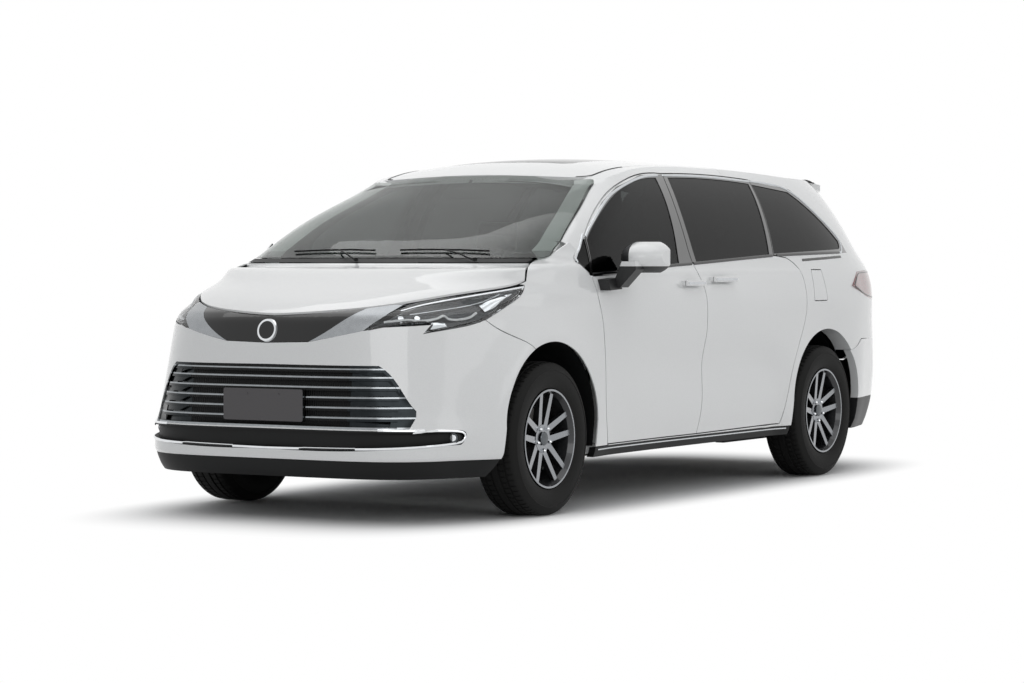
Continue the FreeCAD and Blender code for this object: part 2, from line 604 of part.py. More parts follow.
def make_nose():
    wing_skin = patch(front_point, spaced(22, 90, 18),
                      [290, 340, 400, 460, 520, 600, 680, 760, 840, 900, 950, 1000, 1050, 1100, 1150, 1200, 1250,
                       1320]).toShape()
    bonnet_clear = top_prism(BONNET, BONNET_GAP)
    fender = stretched(wing_skin, V(-3, -PANEL_THICKNESS, -4)).common(side_prism(FENDER, -SHUT_GAP / 2))
    fender = cut_by(fender, bonnet_clear, side_prism(arch(FRONT_AXLE_X, 100)))
    save("fender_left", fender)
    save("fender_right", mirrored(fender))

    bonnet_skin = patch(front_point, spaced(-55, 55, 23), KNEE_ROWS[6:]).toShape()
    save("bonnet", cut_out(bonnet_skin, top_prism(BONNET), V(0, 0, -10)))
    bonnet_skin.translate(V(0, 0, -10 - FIT))
    save("bonnet_frame", cut_out(bonnet_skin, top_prism(BONNET_FRAME), V(0, 0, -20)))
    cowl = patch(front_point, spaced(-62, 62, 21), [COWL_Z, COWL_Z + 7, COWL_Z + 14, COWL_Z + 20]).toShape()
    cowl = largest(cut_by(stretched(cowl, V(0, 0, -24)), *both_prisms(FENDER, 1, 300)))
    save("cowl", cowl.common(box(1000, 2000, -COWL_HALF_WIDTH, COWL_HALF_WIDTH, 1000, 1300)))

    left = box(1700, 2700, 0, 1200, 0, 1300)
    nose = half_front_wall(300, 1010, BUMPER_THICKNESS, 18).common(left)
    above_lamp = side_prism([[(2600, 900)], [(2600, 1200)], [(1500, 1200)], [(1500, 1080)], [(2012, 938)]])
    fixed = [bonnet_clear, side_prism(LAMP, 0.5, 300), side_prism(FENDER, 2, 300), end_prism(BAND),
             end_prism(GRILLE), end_prism(INTAKE), side_prism(arch(FRONT_AXLE_X, 100)), above_lamp]
    bumper = largest(cut_by(nose, *fixed))
    save("front_bumper", joined([bumper, mirrored(bumper)]))
    lamp_skin = patch(front_point, spaced(18, 62, 16), KNEE_ROWS[2:]).toShape()
    lamp = stretched(lamp_skin, V(-30, -30, -25)).common(side_prism(LAMP, 0, 300)).cut(bonnet_clear)
    save("headlamps", both(largest(lamp)))
    face_skin = patch(front_point, spaced(-42, 42, 23), KNEE_ROWS[:14]).toShape()
    save("upper_insert", cut_out(face_skin, end_prism(INSERT, -0.5), V(-24, 0, 0)).cut(bonnet_clear))
    wing = cut_out(face_skin, end_prism(WING, -0.5), V(-24, 0, 0))
    save("grille_wings", both(largest(cut_by(wing, bonnet_clear, side_prism(LAMP, 1, 300)))))


def make_lower_nose():
    angles = [-a for a in reversed(NOSE_ANGLES)] + NOSE_ANGLES
    dam = wall(front_point, angles, [216, 240, 270, 298], 50).common(box(2040, 2700, -1200, 1200, 0, 400))
    save("air_dam", cut_by(dam, side_prism(arch(FRONT_AXLE_X, 100), 6, -1200, 1200)))

    recess = wall(lambda a, z, i: front_point(a, z, i + 26), spaced(-36, 36, 13), spaced(430, 760, 10), 12)
    frame = wall(front_point, spaced(-36, 36, 13), spaced(430, 760, 10), 30)
    rim = frame.common(end_prism(GRILLE, -FIT)).cut(end_prism(GRILLE, -12))
    bars = [recess.common(end_prism(GRILLE, -6)), rim]
    for z in GRILLE_BARS:
        line = wall(lambda a, v, i: front_point(a, v, i + 5), spaced(-36, 36, 13), [z - 9, z - 3, z + 3, z + 9], 26)
        bars.append(line.common(end_prism(GRILLE, -8)))
    plate = wall(lambda a, z, i: front_point(a, z, i + 12), spaced(-36, 36, 13), spaced(430, 760, 10), 18)
    plate = plate.common(end_prism(GRILLE, -9))
    for high, low in zip(GRILLE_BARS[1:], GRILLE_BARS[:-1]):
        flare = [[(FLARE_START, high + 2)], [(760, high + 8)], [(760, low + 13)], [(FLARE_START + 90, low + 15)]]
        bars += both(plate.common(end_prism(flare)))
    bars.append(box(PLATE_FRONT_X - 22, PLATE_FRONT_X, -220, 220, PLATE_FRONT_Z - 124, PLATE_FRONT_Z + 22))
    holes = [rod((PLATE_FRONT_X - 26, y, PLATE_FRONT_Z), (PLATE_FRONT_X + 9, y, PLATE_FRONT_Z), PLATE_HOLE_RADIUS)
             for y in (-PLATE_HOLE_SPACING / 2, PLATE_HOLE_SPACING / 2)]
    save("lower_grille", cut_by(joined(bars), *holes))

    mouth = wall(lambda a, z, i: front_point(a, z, i + 22), spaced(-48, 48, 17), spaced(335, 450, 6), 14)
    edge = wall(front_point, spaced(-48, 48, 17), spaced(335, 450, 6), 30)
    hoop = edge.common(end_prism(INTAKE, -FIT)).cut(end_prism(INTAKE, -9))
    pieces = [mouth.common(end_prism(INTAKE, -4)), hoop]
    for side in (1, -1):
        pieces.append(rod((2120, side * 838, 404), (2262, side * 838, 404), 27))
    save("lower_intake", joined(pieces))


def make_tail():
    half = SHUT_GAP / 2
    gate = rear_wall(spaced(-60, 60, 21), 600, 1742, 70, 22)
    gate = gate.common(end_prism(TAILGATE, -half, -2800, -1800))
    gate = cut_by(gate, above_roof, box(ROOF_REAR_X - SHUT_GAP, 0, -1200, 1200, 1400, 2000))
    spoiler = stretched(roof_skin, V(0, 0, -34)).common(top_prism(SPOILER))
    gate = joined([gate, spoiler]).cut(end_prism(TAILGATE_GLASS, 0, -2800, -1800))
    glass = wall(lambda a, z, i: rear_point(a, z, i + 6), spaced(-50, 50, 17), spaced(1195, 1612, 8), 6)
    glass = glass.common(end_prism(TAILGATE_GLASS, -FIT, -2800, -1800))
    lamp_band = rear_wall(spaced(-66, 66, 23), 960, 1190, 40, 7)
    clear = end_prism(TAILGATE, half, -2800, -1800)
    side_lamps = [(lamp_band.common(side_prism(TAIL_LAMP, -FIT))).cut(clear)]
    save("tail_lamps", both(largest(side_lamps[0])))
    x, z = PLATE_REAR_X, PLATE_REAR_Z
    recess = [box(-2700, x, -170, 170, z - 115, z + 35)]
    recess += [rod((x - 9, y, z), (x + 24, y, z), PLATE_HOLE_RADIUS)
               for y in (-PLATE_HOLE_SPACING / 2, PLATE_HOLE_SPACING / 2)]
    save("tailgate", cut_by(largest(gate), *recess))
    save("tailgate_glass", glass)
    bumper = rear_wall(spaced(-64, 64, 23), 250, 763, BUMPER_THICKNESS, 14)
    bumper = cut_by(bumper, side_prism(arch(REAR_AXLE_X, 100), 0, -1200, 1200),
                    side_prism([[(-1600, 704)], [(-1740, 697)], [(-1860, 719), (-1950, 763)], [(-1950, 800)],
                                [(-1600, 800)]], 0, -1200, 1200), end_prism(TAILGATE, half, -2800, -1800))
    save("rear_bumper", largest(bumper.common(box(-2700, -1700, -1200, 1200, 0, 800))))


# Wheels and what carries them
def wheel_rim():
    """A cast rim about the Y axis, its outer face to +Y: ten spokes in five pairs inside a rolled barrel."""
    w, r = RIM_WIDTH / 2, RIM_RADIUS
    section = [(w, r), (w, r - 9), (w - 26, r - 22), (30, r - 30), (-w + 14, r - 20), (-w, r - 9), (-w, r),
               (-w + 10, r - 8), (28, r - 18), (w - 12, r - 8)]
    barrel = Part.Face(Part.makePolygon([V(radius, y, 0) for y, radius in section + section[:1]]))
    barrel = upright(barrel.revolve(V(0, 0, 0), V(0, 1, 0), 360))
    hub = rod((0, -18, 0), (0, 62, 0), 66)
    spokes = []
    for pair in range(5):
        for side in (-1, 1):
            outline = [V(side * 6, 0, 40), V(side * 40, 0, 48), V(side * 62, 0, r - 12), V(side * 36, 0, r - 12)]
            blade = Part.Face(Part.makePolygon(outline + outline[:1])).extrude(V(0, 120, 0))
            spokes.append(upright(blade).rotated(V(0, 0, 0), V(0, 1, 0), 72 * pair))
    dish = Part.Face(Part.makePolygon([V(0, 58, 0), V(60, 60, 0), V(r - 14, 84, 0), V(r - 14, 62, 0), V(60, 22, 0),
                                       V(0, 22, 0), V(0, 58, 0)]))
    dish = upright(dish.revolve(V(0, 0, 0), V(0, 1, 0), 360))
    rim = joined([barrel, hub] + [blade.common(dish) for blade in spokes])
    return rim.cut(rod((0, -60, 0), (0, 40, 0), SPINDLE_RADIUS + FIT))


def tyre():
    w, r = TYRE_WIDTH / 2, TYRE_RADIUS
    seat = RIM_WIDTH / 2 - 4
    half = [(seat, RIM_RADIUS + FIT), (w, (r + RIM_RADIUS) / 2), (w - 24, r)]
    section = half + [(-y, radius) for y, radius in reversed(half)]
    face = Part.Face(Part.makePolygon([V(radius, y, 0) for y, radius in section + section[:1]]))
    return upright(face.revolve(V(0, 0, 0), V(0, 1, 0), 360))


def placed(shape, x, side):
    shape = shape.copy() if side > 0 else mirrored(shape)
    shape.translate(V(x, side * WHEEL_Y, TYRE_RADIUS))
    return shape


def make_wheels():
    rim, tread = wheel_rim(), tyre()
    for end, x in (("front", FRONT_AXLE_X), ("rear", REAR_AXLE_X)):
        for name, side in (("left", 1), ("right", -1)):
            save("wheel_%s_%s" % (end, name), placed(rim, x, side))
            save("tyre_%s_%s" % (end, name), placed(tread, x, side))


def make_steered_knuckles():
    x = FRONT_AXLE_X
    foot, head = V(x, BALL_JOINT_Y, BALL_JOINT_Z), V(x, STRUT_TOP_Y, STRUT_TOP_Z)
    axis = head - foot

    def along(t):
        return foot + axis * t
    upright_leg = rod(along(0.03), along(0.42), 30)
    strut = rod(along(0.3), along(0.74), 27)
    plate = rod(along(0.74), along(0.76), 74)
    spring = rod(along(0.76), along(0.97), 56)
    piston = rod(along(0.97), along(0.985), 14)
    carrier = rod((x, WHEEL_Y - 118, TYRE_RADIUS), (x, WHEEL_Y - 20, TYRE_RADIUS), 56)
    spindle = rod((x, WHEEL_Y - 60, TYRE_RADIUS), (x, WHEEL_Y + 36, TYRE_RADIUS), SPINDLE_RADIUS)
    arm = rod((x - 150, WHEEL_Y - 118, TYRE_RADIUS - 60), (x, WHEEL_Y - 90, TYRE_RADIUS - 20), 15)
    knuckle = joined([upright_leg, strut, plate, spring, piston, carrier, spindle, arm])
    save("knuckle_front_left", knuckle)
    save("knuckle_front_right", mirrored(knuckle))


def make_underbody():
    """Subframe with lower arms, rear axle with springs, engine block, exhaust and the front longitudinals."""
    x = FRONT_AXLE_X
    pieces = [box(x - 190, x + 150, -380, 380, 205, 285)]
    for side in (1, -1):
        reach = [V(x - 160, side * 360, 245), V(x + 90, side * 360, 245), V(x + 30, side * 760, BALL_JOINT_Z),
                 V(x - 30, side * 760, BALL_JOINT_Z)]
        plan = [V(p.x, p.y, 198) for p in reach]
        pieces.append(upright(Part.Face(Part.makePolygon(plan + plan[:1])).extrude(V(0, 0, 26))))
        pieces.append(Part.makeCylinder(24, 28, V(x, side * BALL_JOINT_Y, 192)))
        pieces.append(box(x - 30, x + 30, min(side * 750, side * BALL_JOINT_Y), max(side * 750, side * BALL_JOINT_Y),
                          198, 220))
    save("front_subframe", joined(pieces))

    frame = [box(2400, 2460, -560, 560, 440, 560), box(2330, 2400, -420, 420, 260, 900)]
    for side in (1, -1):
        y0, y1 = sorted((side * 430, side * 500))
        frame.append(box(1150, 2430, y0, y1, 420, 540))
        frame.append(box(x - 120, x + 120, y0, y1, 285 + FIT, 430))
        frame.append(box(x - 95, x + 95, *sorted((side * 470, side * 500)), 500, 990))
        dome = box(x - 95, x + 95, *sorted((side * 470, side * 720)), 772, 990)
        frame.append(dome.cut(box(x - 80, x + 80, *sorted((side * 500, side * 730)), 700, 968)))
    save("front_frame", joined(frame))

    a = REAR_AXLE_X
    axle = [rod((a, -700, 250), (a, 700, 250), 38)]
    for side in (1, -1):
        axle.append(rod((a, side * 690, TYRE_RADIUS), (a, side * (WHEEL_Y - 20), TYRE_RADIUS), 54))
        axle.append(rod((a, side * 700, TYRE_RADIUS), (a, side * (WHEEL_Y + 36), TYRE_RADIUS), SPINDLE_RADIUS))
        axle.append(box(a - 50, a + 50, *sorted((side * 650, side * 700)), 215, 400))
        axle.append(box(a - 20, a + 560, *sorted((side * 560, side * 610)), 205, 252))
        axle.append(box(a - 30, a + 30, *sorted((side * 600, side * 690)), 225, 275))
        axle.append(rod((a, side * 520, 270), (a, side * 520, REAR_STEP_Z - FLOOR_THICKNESS - FIT), 52))
    save("rear_axle", joined(axle))

    save("engine", box(1420, 1960, -400, 330, 330, 930))
    save("exhaust", joined([rod((1130, 120, 182), (-1930, 120, 182), 27), box(-2380, -1900, -400, 170, 165, 285)]))


def liner(axle, y0, y1, flat_wall):
    """A wheelhouse liner: a thin arch over the wheel, closed towards the cabin where nothing passes."""
    outer = side_prism(arch(axle, 262, -14), 0, y0, y1)
    inner = side_prism(arch(axle, 200, -10), 0, y0 - 50 if not flat_wall else y0 + 4, y1 + 50)
    return outer.cut(inner)


def make_liners():
    x, a = FRONT_AXLE_X, REAR_AXLE_X
    front = liner(x, 545, 950, False).cut(box(x - 96, x + 96, 400, 728, 700, 900))
    front = cut_by(front, half_front_wall(205, 1010, BUMPER_THICKNESS + 6, 20), box(900, 1300, 880, 1000, 0, SILL_Z + 4))
    front = largest(front)
    rear = liner(a, 690, 846, True).cut(box(a - 72, a + 72, 600, 710, 100, 440))
    save("wheelhouse_liners", both(front) + both(rear))


def make_floor():
    t = FLOOR_THICKNESS
    low, step = FLOOR_Z, REAR_STEP_Z
    section = [(1110, 998), (1140, 998), (1140, 620), (1060, low), (-1290, low), (-1290, step - t), (-1810, step - t),
               (-1810, low + 38), (-2470, low + 60), (-2470, 720), (-2440, 720), (-2440, low + 60 + t),
               (-1844, low + 38 + t), (-1844, step), (-1256, step), (-1256, low + t), (1040, low + t), (1110, 640)]
    pan = Part.Face(Part.makePolygon([V(x, -FLOOR_HALF_WIDTH + FIT, z) for x, z in section + section[:1]]))
    pan = stretched(pan, V(0, 2 * FLOOR_HALF_WIDTH - 2 * FIT, 0))
    for side in (1, -1):
        pan = pan.cut(side_prism(arch(REAR_AXLE_X, 100, -18), 0, *sorted((side * 686, side * 900))))
        pan = pan.cut(box(-2600, -2320, *sorted((side * 540, side * 900)), 0, 1000))
    save("floor_pan", pan)


def cushion(x0, x1, y0, y1, z0, z1, corner=30):
    solid = box(x0, x1, y0, y1, z0, z1)
    return solid.makeChamfer(corner, solid.Edges)


def seat(x, y, width, foot_z, base_z, depth=500, height=640):
    """One chair facing forward: cushion, leaning back, head restraint and a pedestal."""
    hinge = V(x - depth / 2, y, base_z + 80)
    base = cushion(x - depth / 2, x + depth / 2, y - width / 2, y + width / 2, base_z, base_z + 150)
    back = cushion(hinge.x - 60, hinge.x + 70, y - width / 2, y + width / 2, hinge.z, hinge.z + height)
    head = cushion(hinge.x - 50, hinge.x + 50, y - 130, y + 130, hinge.z + height + 20, hinge.z + height + 200)
    leaning = [back, head]
    for dy in (-60, 60):
        leaning.append(rod((hinge.x, y + dy, hinge.z + height - 30), (hinge.x, y + dy, hinge.z + height + 90), 7))
    for piece in leaning:
        piece.rotate(hinge, V(0, 1, 0), -16)
    foot = box(x - 180, x + 160, y - width / 2 + 60, y + width / 2 - 60, foot_z, base_z + 2)
    return joined([base, foot] + leaning)


def make_cabin():
    floor = FLOOR_Z + FLOOR_THICKNESS + FIT
    save("front_seats", both(seat(330, 390, 520, floor, 546)))
    save("middle_seats", both(seat(-640, 400, 520, floor, 566)))
    save("rear_seats", [seat(-1570, y, 400, REAR_STEP_Z + FIT, 590, 440, 560) for y in (-410, 0, 410)])
    dash = [(1380, 1120), (1000, 1112), (860, 1070), (806, 990), (850, 840), (960, 660), (1100, 640), (1100, 1000),
            (1380, 1040)]
    body = Part.Face(Part.makePolygon([V(x, -770, z) for x, z in dash + dash[:1]])).extrude(V(0, 1540, 0))
    save("dashboard", upright(body).common(top_prism(symmetric((0, 1500), [[(560, 1400)], [(700, 1300), (770, 1130)],
                                                                           [(770, 700)], [(0, 700)]]))))
    centre, tilt = V(*STEERING_CENTRE), math.radians(STEERING_TILT)
    axis = V(-math.cos(tilt), 0, math.sin(tilt))
    section = [V(185 + 15 * math.cos(math.radians(a)), 0, 15 * math.sin(math.radians(a))) for a in range(0, 360, 60)]
    ring = upright(Part.Face(Part.makePolygon(section + section[:1])).revolve(V(0, 0, 0), V(0, 0, 1), 360))
    hub = Part.makeCylinder(60, 50, centre - axis * 40, axis)
    spokes = [Part.makeBox(30, 340, 16, V(-15, -170, -20)), Part.makeBox(150, 36, 16, V(-165, -18, -20))]
    turned = [ring] + spokes
    for piece in turned:
        piece.rotate(V(0, 0, 0), V(0, 1, 0), STEERING_TILT - 90)
        piece.translate(centre)
    shaft = Part.makeCylinder(16, 60, centre - axis * 95, axis)
    save("steering_wheel", joined([hub, shaft] + turned))


make_body()
make_side_doors()
make_mirrors()
make_skirts()
make_roof()
make_front_glass()
make_wipers()
make_nose()
make_lower_nose()
make_tail()
make_wheels()
make_steered_knuckles()
make_underbody()
make_liners()
make_floor()
make_cabin()
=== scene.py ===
"""Looks of a seven-seat minivan: finishes for its solids, and the trim, lamps, tread and seats that go on them."""
import json
import math

import bmesh
import bpy
from mathutils import Matrix, Vector
from mathutils.bvhtree import BVHTree


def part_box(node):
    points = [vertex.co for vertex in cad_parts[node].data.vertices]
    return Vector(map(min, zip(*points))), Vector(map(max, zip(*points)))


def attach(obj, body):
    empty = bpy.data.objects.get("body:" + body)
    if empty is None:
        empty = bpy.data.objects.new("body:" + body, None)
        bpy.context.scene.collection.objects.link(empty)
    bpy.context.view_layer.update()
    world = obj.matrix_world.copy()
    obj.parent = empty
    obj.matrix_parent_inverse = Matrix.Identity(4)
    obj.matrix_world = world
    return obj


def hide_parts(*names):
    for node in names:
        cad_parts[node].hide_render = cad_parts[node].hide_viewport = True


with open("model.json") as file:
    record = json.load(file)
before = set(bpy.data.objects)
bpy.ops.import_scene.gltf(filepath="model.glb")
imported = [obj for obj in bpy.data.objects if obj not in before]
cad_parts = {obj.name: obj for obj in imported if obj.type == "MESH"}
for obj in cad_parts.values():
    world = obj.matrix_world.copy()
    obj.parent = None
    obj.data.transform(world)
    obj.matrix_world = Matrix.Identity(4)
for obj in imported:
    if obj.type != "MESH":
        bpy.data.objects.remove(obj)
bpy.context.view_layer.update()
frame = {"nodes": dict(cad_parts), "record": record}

bl_info = {
    "name": "Minivan looks",
    "version": (1, 0, 0),
    "blender": (4, 5, 0),
    "location": "3D View > Sidebar > Minivan",
    "description": "Finishes, trim, lamps, tyres and seats of a minivan",
    "category": "Object",
}

nodes = frame["nodes"]
SIDES = (("left", 1), ("right", -1))

# Where the wheels are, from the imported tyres. All lengths here are in metres
TYRE_LOW, TYRE_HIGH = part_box("tyre_front_left")
TYRE_RADIUS = (TYRE_HIGH.z - TYRE_LOW.z) / 2
TYRE_HALF_WIDTH = (TYRE_HIGH.y - TYRE_LOW.y) / 2
WHEEL_Y = (TYRE_HIGH.y + TYRE_LOW.y) / 2
WHEEL_Z = TYRE_RADIUS
FRONT_X = (TYRE_HIGH.x + TYRE_LOW.x) / 2
REAR_X = sum(end.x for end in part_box("tyre_rear_left")) / 2
RIM_RADIUS = 0.236
WHEELS = [("%s_%s" % (end, name), x, side)
          for end, x in (("front", FRONT_X), ("rear", REAR_X)) for name, side in SIDES]
TREAD_STEPS = 360
TREAD_PITCH = 5
HUB_FACE = 0.066
NUTS = 5
NUT_CIRCLE = 0.057
FIRST_NUT = 54
# The centre cap's section, as (radius, distance outwards)
CAP_SECTION = [(0.0, 0.0), (0.031, 0.0), (0.033, 0.004), (0.031, 0.007), (0.02, 0.0085), (0.0, 0.009)]
# The grooves round a tyre, as distances from its middle plane, and the cuts across its ribs: from, to, the least
# radius, and how many steps those of one half are turned on
GROOVES = ((0.064, 0.055), (0.026, 0.017))
CROSS_CUTS = ((0.066, 0.098, 0.356, 0), (0.028, 0.054, 0.366, 2))

# Side windows, as (x, z): the edges of the black film round them, and the lines of the trim and the belt moulding
WINDOW_TOP = [(-1.95, 1.22), (-1.89, 1.33), (-1.66, 1.482), (-1.45, 1.621), (-1.04, 1.65), (-0.44, 1.674),
              (0.03, 1.668), (0.275, 1.658), (0.582, 1.592), (0.803, 1.506), (1.036, 1.388), (1.256, 1.222),
              (1.30, 1.16)]
WINDOW_FOOT = [(-1.95, 1.262), (-1.80, 1.258), (-0.85, 1.238), (0.10, 1.198), (0.99, 1.150), (1.155, 1.140),
               (1.262, 1.206), (1.30, 1.25)]
CURVE_X = (-1.95, 1.30)
CURVE_Z = (1.10, 1.72)
DOOR_ARC = [(1.106, 1.334), (1.034, 1.384), (0.801, 1.502), (0.580, 1.586), (0.273, 1.651), (0.074, 1.662)]
SLIDE_ARC = [(0.052, 1.663), (-0.44, 1.670), (-0.985, 1.654)]
REAR_ARC = [(-0.995, 1.655), (-1.20, 1.648), (-1.44, 1.624), (-1.655, 1.486), (-1.872, 1.345), (-1.874, 1.30),
            (-1.836, 1.262), (-1.80, 1.262)]
CORNER_PANE = [(1.120, 1.345), (1.240, 1.238), (1.262, 1.222), (1.255, 1.206), (1.168, 1.138)]
DOOR_BELT = [(1.148, 1.146), (0.985, 1.151), (0.329, 1.191), (0.10, 1.199)]
BODY_BELT = [(0.078, 1.200), (-0.846, 1.242), (-1.03, 1.248), (-1.79, 1.263)]
TRIM_HEIGHT = 0.0035
BELT_WIDTH = 0.016
BELT_HEIGHT = 0.004

# Strips on the sides as (x, z), on the roof as (y, x) and on the back as (y, z)
HANDLE_STRIPS = {"front": [(0.084, 1.100), (0.276, 1.100)], "slide": [(-0.292, 1.118), (-0.048, 1.118)]}
SILL_LINE = [(1.16, 0.2935), (-0.97, 0.2935)]
SLIDER_RAIL = [(-1.245, 1.2185), (-1.80, 1.2385)]
ROOF_DITCH = [(0.560, 0.655), (0.612, 0.616), (0.626, 0.560), (0.626, -2.030)]
GARNISH_LINE = [(0.0, 0.990), (0.40, 0.990), (0.70, 1.004)]
BRAKE_LAMP_LINE = [(0.0, 1.662), (0.17, 1.660)]
WIPER_PIVOT = (0.0, 1.178)
WIPER_ARM = [(0.0, 1.180), (0.16, 1.232), (0.34, 1.262)]
WIPER_BLADE = [(0.06, 1.236), (0.22, 1.252), (0.40, 1.270)]
REFLECTOR_LINE = [(0.60, 0.420), (0.76, 0.428)]
TAIL_LAMP_RIMS = ([(-1.868, 1.078), (-1.975, 1.142), (-2.10, 1.147), (-2.24, 1.149)],
                  [(-1.868, 1.070), (-2.05, 1.018), (-2.24, 1.002)])
# Middle of the left mirror's glass, and its height as a share of its width
MIRROR_GLASS = (0.8265, 1.082, 1.232)
MIRROR_FLATNESS = 0.68

# Heights below which a part's paint gives way to black plastic
BUMPER_BLACK_BELOW = 0.425
MIRROR_BLACK_BELOW = 1.188

# Front end, as (x, y, z) on the left side of the skin, or (y, z) seen from the front
GRILLE_BAR_HEIGHTS = (0.492, 0.538, 0.584, 0.630, 0.676, 0.714)
# Lift and half width of a band of painted highlight, in brighter chrome, just above each grille bar
GRILLE_HIGHLIGHT_BAND = (0.0060, 0.0035)
GRILLE_RIM_HEIGHT = 0.4565
GRILLE_PLATES_FROM = 0.452
GRILLE_END = [(2.450, 0.729, 0.446), (2.415, 0.734, 0.500), (2.411, 0.729, 0.534), (2.441, 0.678, 0.615),
              (2.470, 0.616, 0.706), (2.487, 0.579, 0.732)]
GRILLE_END_OVERLAP = 0.090
INTAKE_LINE = [(0.0, 0.3495), (0.45, 0.3545), (0.69, 0.3610), (0.862, 0.3755), (0.8765, 0.404), (0.8755, 0.424),
               (0.854, 0.4405), (0.60, 0.4445)]
FOG_LAMP = (0.838, 0.404)
EMBLEM_HEIGHT = 0.893
PLATE_SIZE = (0.0025, 0.45, 0.148)
PLATE_CORNER = 0.010
PLATE_BELOW_BOLTS = 0.05
PLATE_BOLT_Y = 0.089
LAMP_TOP = [(1.705, 0.877, 1.090), (1.850, 0.842, 1.072), (2.000, 0.792, 1.053), (2.231, 0.661, 1.015),
            (2.342, 0.599, 0.984), (2.427, 0.562, 0.948), (2.480, 0.512, 0.901)]
LAMP_FOOT = [(1.705, 0.879, 1.084), (1.765, 0.888, 1.052), (1.922, 0.867, 0.983), (2.031, 0.850, 0.942),
             (2.214, 0.784, 0.906), (2.318, 0.720, 0.888), (2.279, 0.735, 0.941), (2.405, 0.631, 0.928),
             (2.478, 0.515, 0.899)]
LED_LINE = [(2.440, 0.575, 0.937), (2.392, 0.626, 0.944), (2.353, 0.661, 0.950), (2.333, 0.691, 0.939),
            (2.247, 0.745, 0.950), (2.210, 0.754, 0.970), (2.199, 0.779, 0.942), (2.095, 0.823, 0.950),
            (2.043, 0.829, 0.977)]
INNER_STRIP = [(2.335, 0.649, 0.973), (2.205, 0.729, 0.990), (1.999, 0.818, 1.016), (1.867, 0.846, 1.060)]
UPPER_REFLECTOR = ([(1.800, 0.876, 1.058), (1.900, 0.862, 1.006), (1.990, 0.843, 0.982)],
                   [(1.800, 0.872, 1.066), (1.910, 0.856, 1.040), (2.010, 0.822, 1.012)])
LOWER_REFLECTOR = ([(2.215, 0.783, 0.908), (2.262, 0.755, 0.901), (2.312, 0.722, 0.893)],
                   [(2.225, 0.768, 0.932), (2.262, 0.744, 0.934), (2.278, 0.731, 0.930)])
PROJECTORS = ((-1.238, 0.958), (-1.160, 0.957))

# Seats: node, x, the middles' y, width, height of the cushion's foot, depth, height of the back, foot of the frame
SEAT_ROWS = (("front_seats", 0.33, (-0.39, 0.39), 0.52, 0.546, 0.50, 0.64, 0.296),
             ("middle_seats", -0.64, (-0.40, 0.40), 0.52, 0.566, 0.50, 0.64, 0.296),
             ("rear_seats", -1.57, (-0.41, 0.0, 0.41), 0.40, 0.590, 0.44, 0.56, 0.520))
CUSHION_HEIGHT = 0.150
BACK_THICKNESS = 0.130
REST_SIZE = (0.180, 0.260, 0.100)
PAD_CORNER = 0.045
REST_CORNER = 0.030
# Seams, as (axis, distance from the middle), and the share of a seat's width at which its side seams lie
SIDE_SEAM_SHARE = 0.29
CUSHION_SEAM = (0, 0.06)
BACK_SEAM = (0, 0.10)
REST_SEAM = (0, 0.0)
RECLINER_HEIGHT = 0.080
REST_ABOVE_BACK = 0.110
POST_Y = 0.06
POST_RADIUS = 0.007
SEAT_LEAN = 16.0
PAD_PUFF = 0.012
PAD_VOXEL = 0.011
PAD_PRESSURE = 4.0
PAD_FRAMES = 20
SEAM_WIDTH = 0.011
SEAM_DEPTH = 0.008

# Cabin blocks as lower corner, upper corner and radius of the edges, the mirror's stalk as its ends and radius, and
# the linings beside the load space
HOOD_BLOCK = ((0.845, 0.215, 1.070), (0.985, 0.565, 1.135), 0.022)
SCREEN_SHELL = ((0.875, -0.150, 1.085), (0.900, 0.130, 1.225), 0.008)
SCREEN_FACE = ((0.872, -0.138, 1.098), (0.8765, 0.118, 1.214), 0.001)
MIRROR_SHELL = ((0.810, -0.115, 1.525), (0.835, 0.115, 1.585), 0.010)
MIRROR_STALK = ((0.822, 0, 1.560), (0.760, 0, 1.625), 0.008)
LINING_X = (-2.20, -1.02)
LINING_Y = (0.668, 0.684)
LINING_Z = (0.56, 1.16)

# The photo's camera, fitted to the wheelbase, the tyres and the windows, and the studio round the car
CAMERA_PLACE = (13.508, 7.943, 1.215)
CAMERA_YAW = 211.13
CAMERA_PITCH = -1.59
CAMERA_FOCAL_PIXELS = 2909.6
PHOTO_WIDTH = 1024
SENSOR_WIDTH = 36.0
FLOOR_RADIUS = 60.0
SURROUNDINGS_STRENGTH = 0.42
LAMPS = (("overhead_softbox", (0.3, 0.0, 5.2), (0.0, 0.0, 0.8), (8.0, 4.5), 98.0),
         ("front_softbox", (7.5, 4.5, 3.4), (1.5, 0.2, 0.7), (5.0, 3.0), 78.0),
         ("side_softbox", (-1.5, 8.0, 3.2), (-0.5, 0.5, 0.8), (7.0, 3.0), 42.0))

METAL = {"Metallic": 1.0}
CLEARCOAT = {"Coat Weight": 1.0, "Coat Roughness": 0.03}

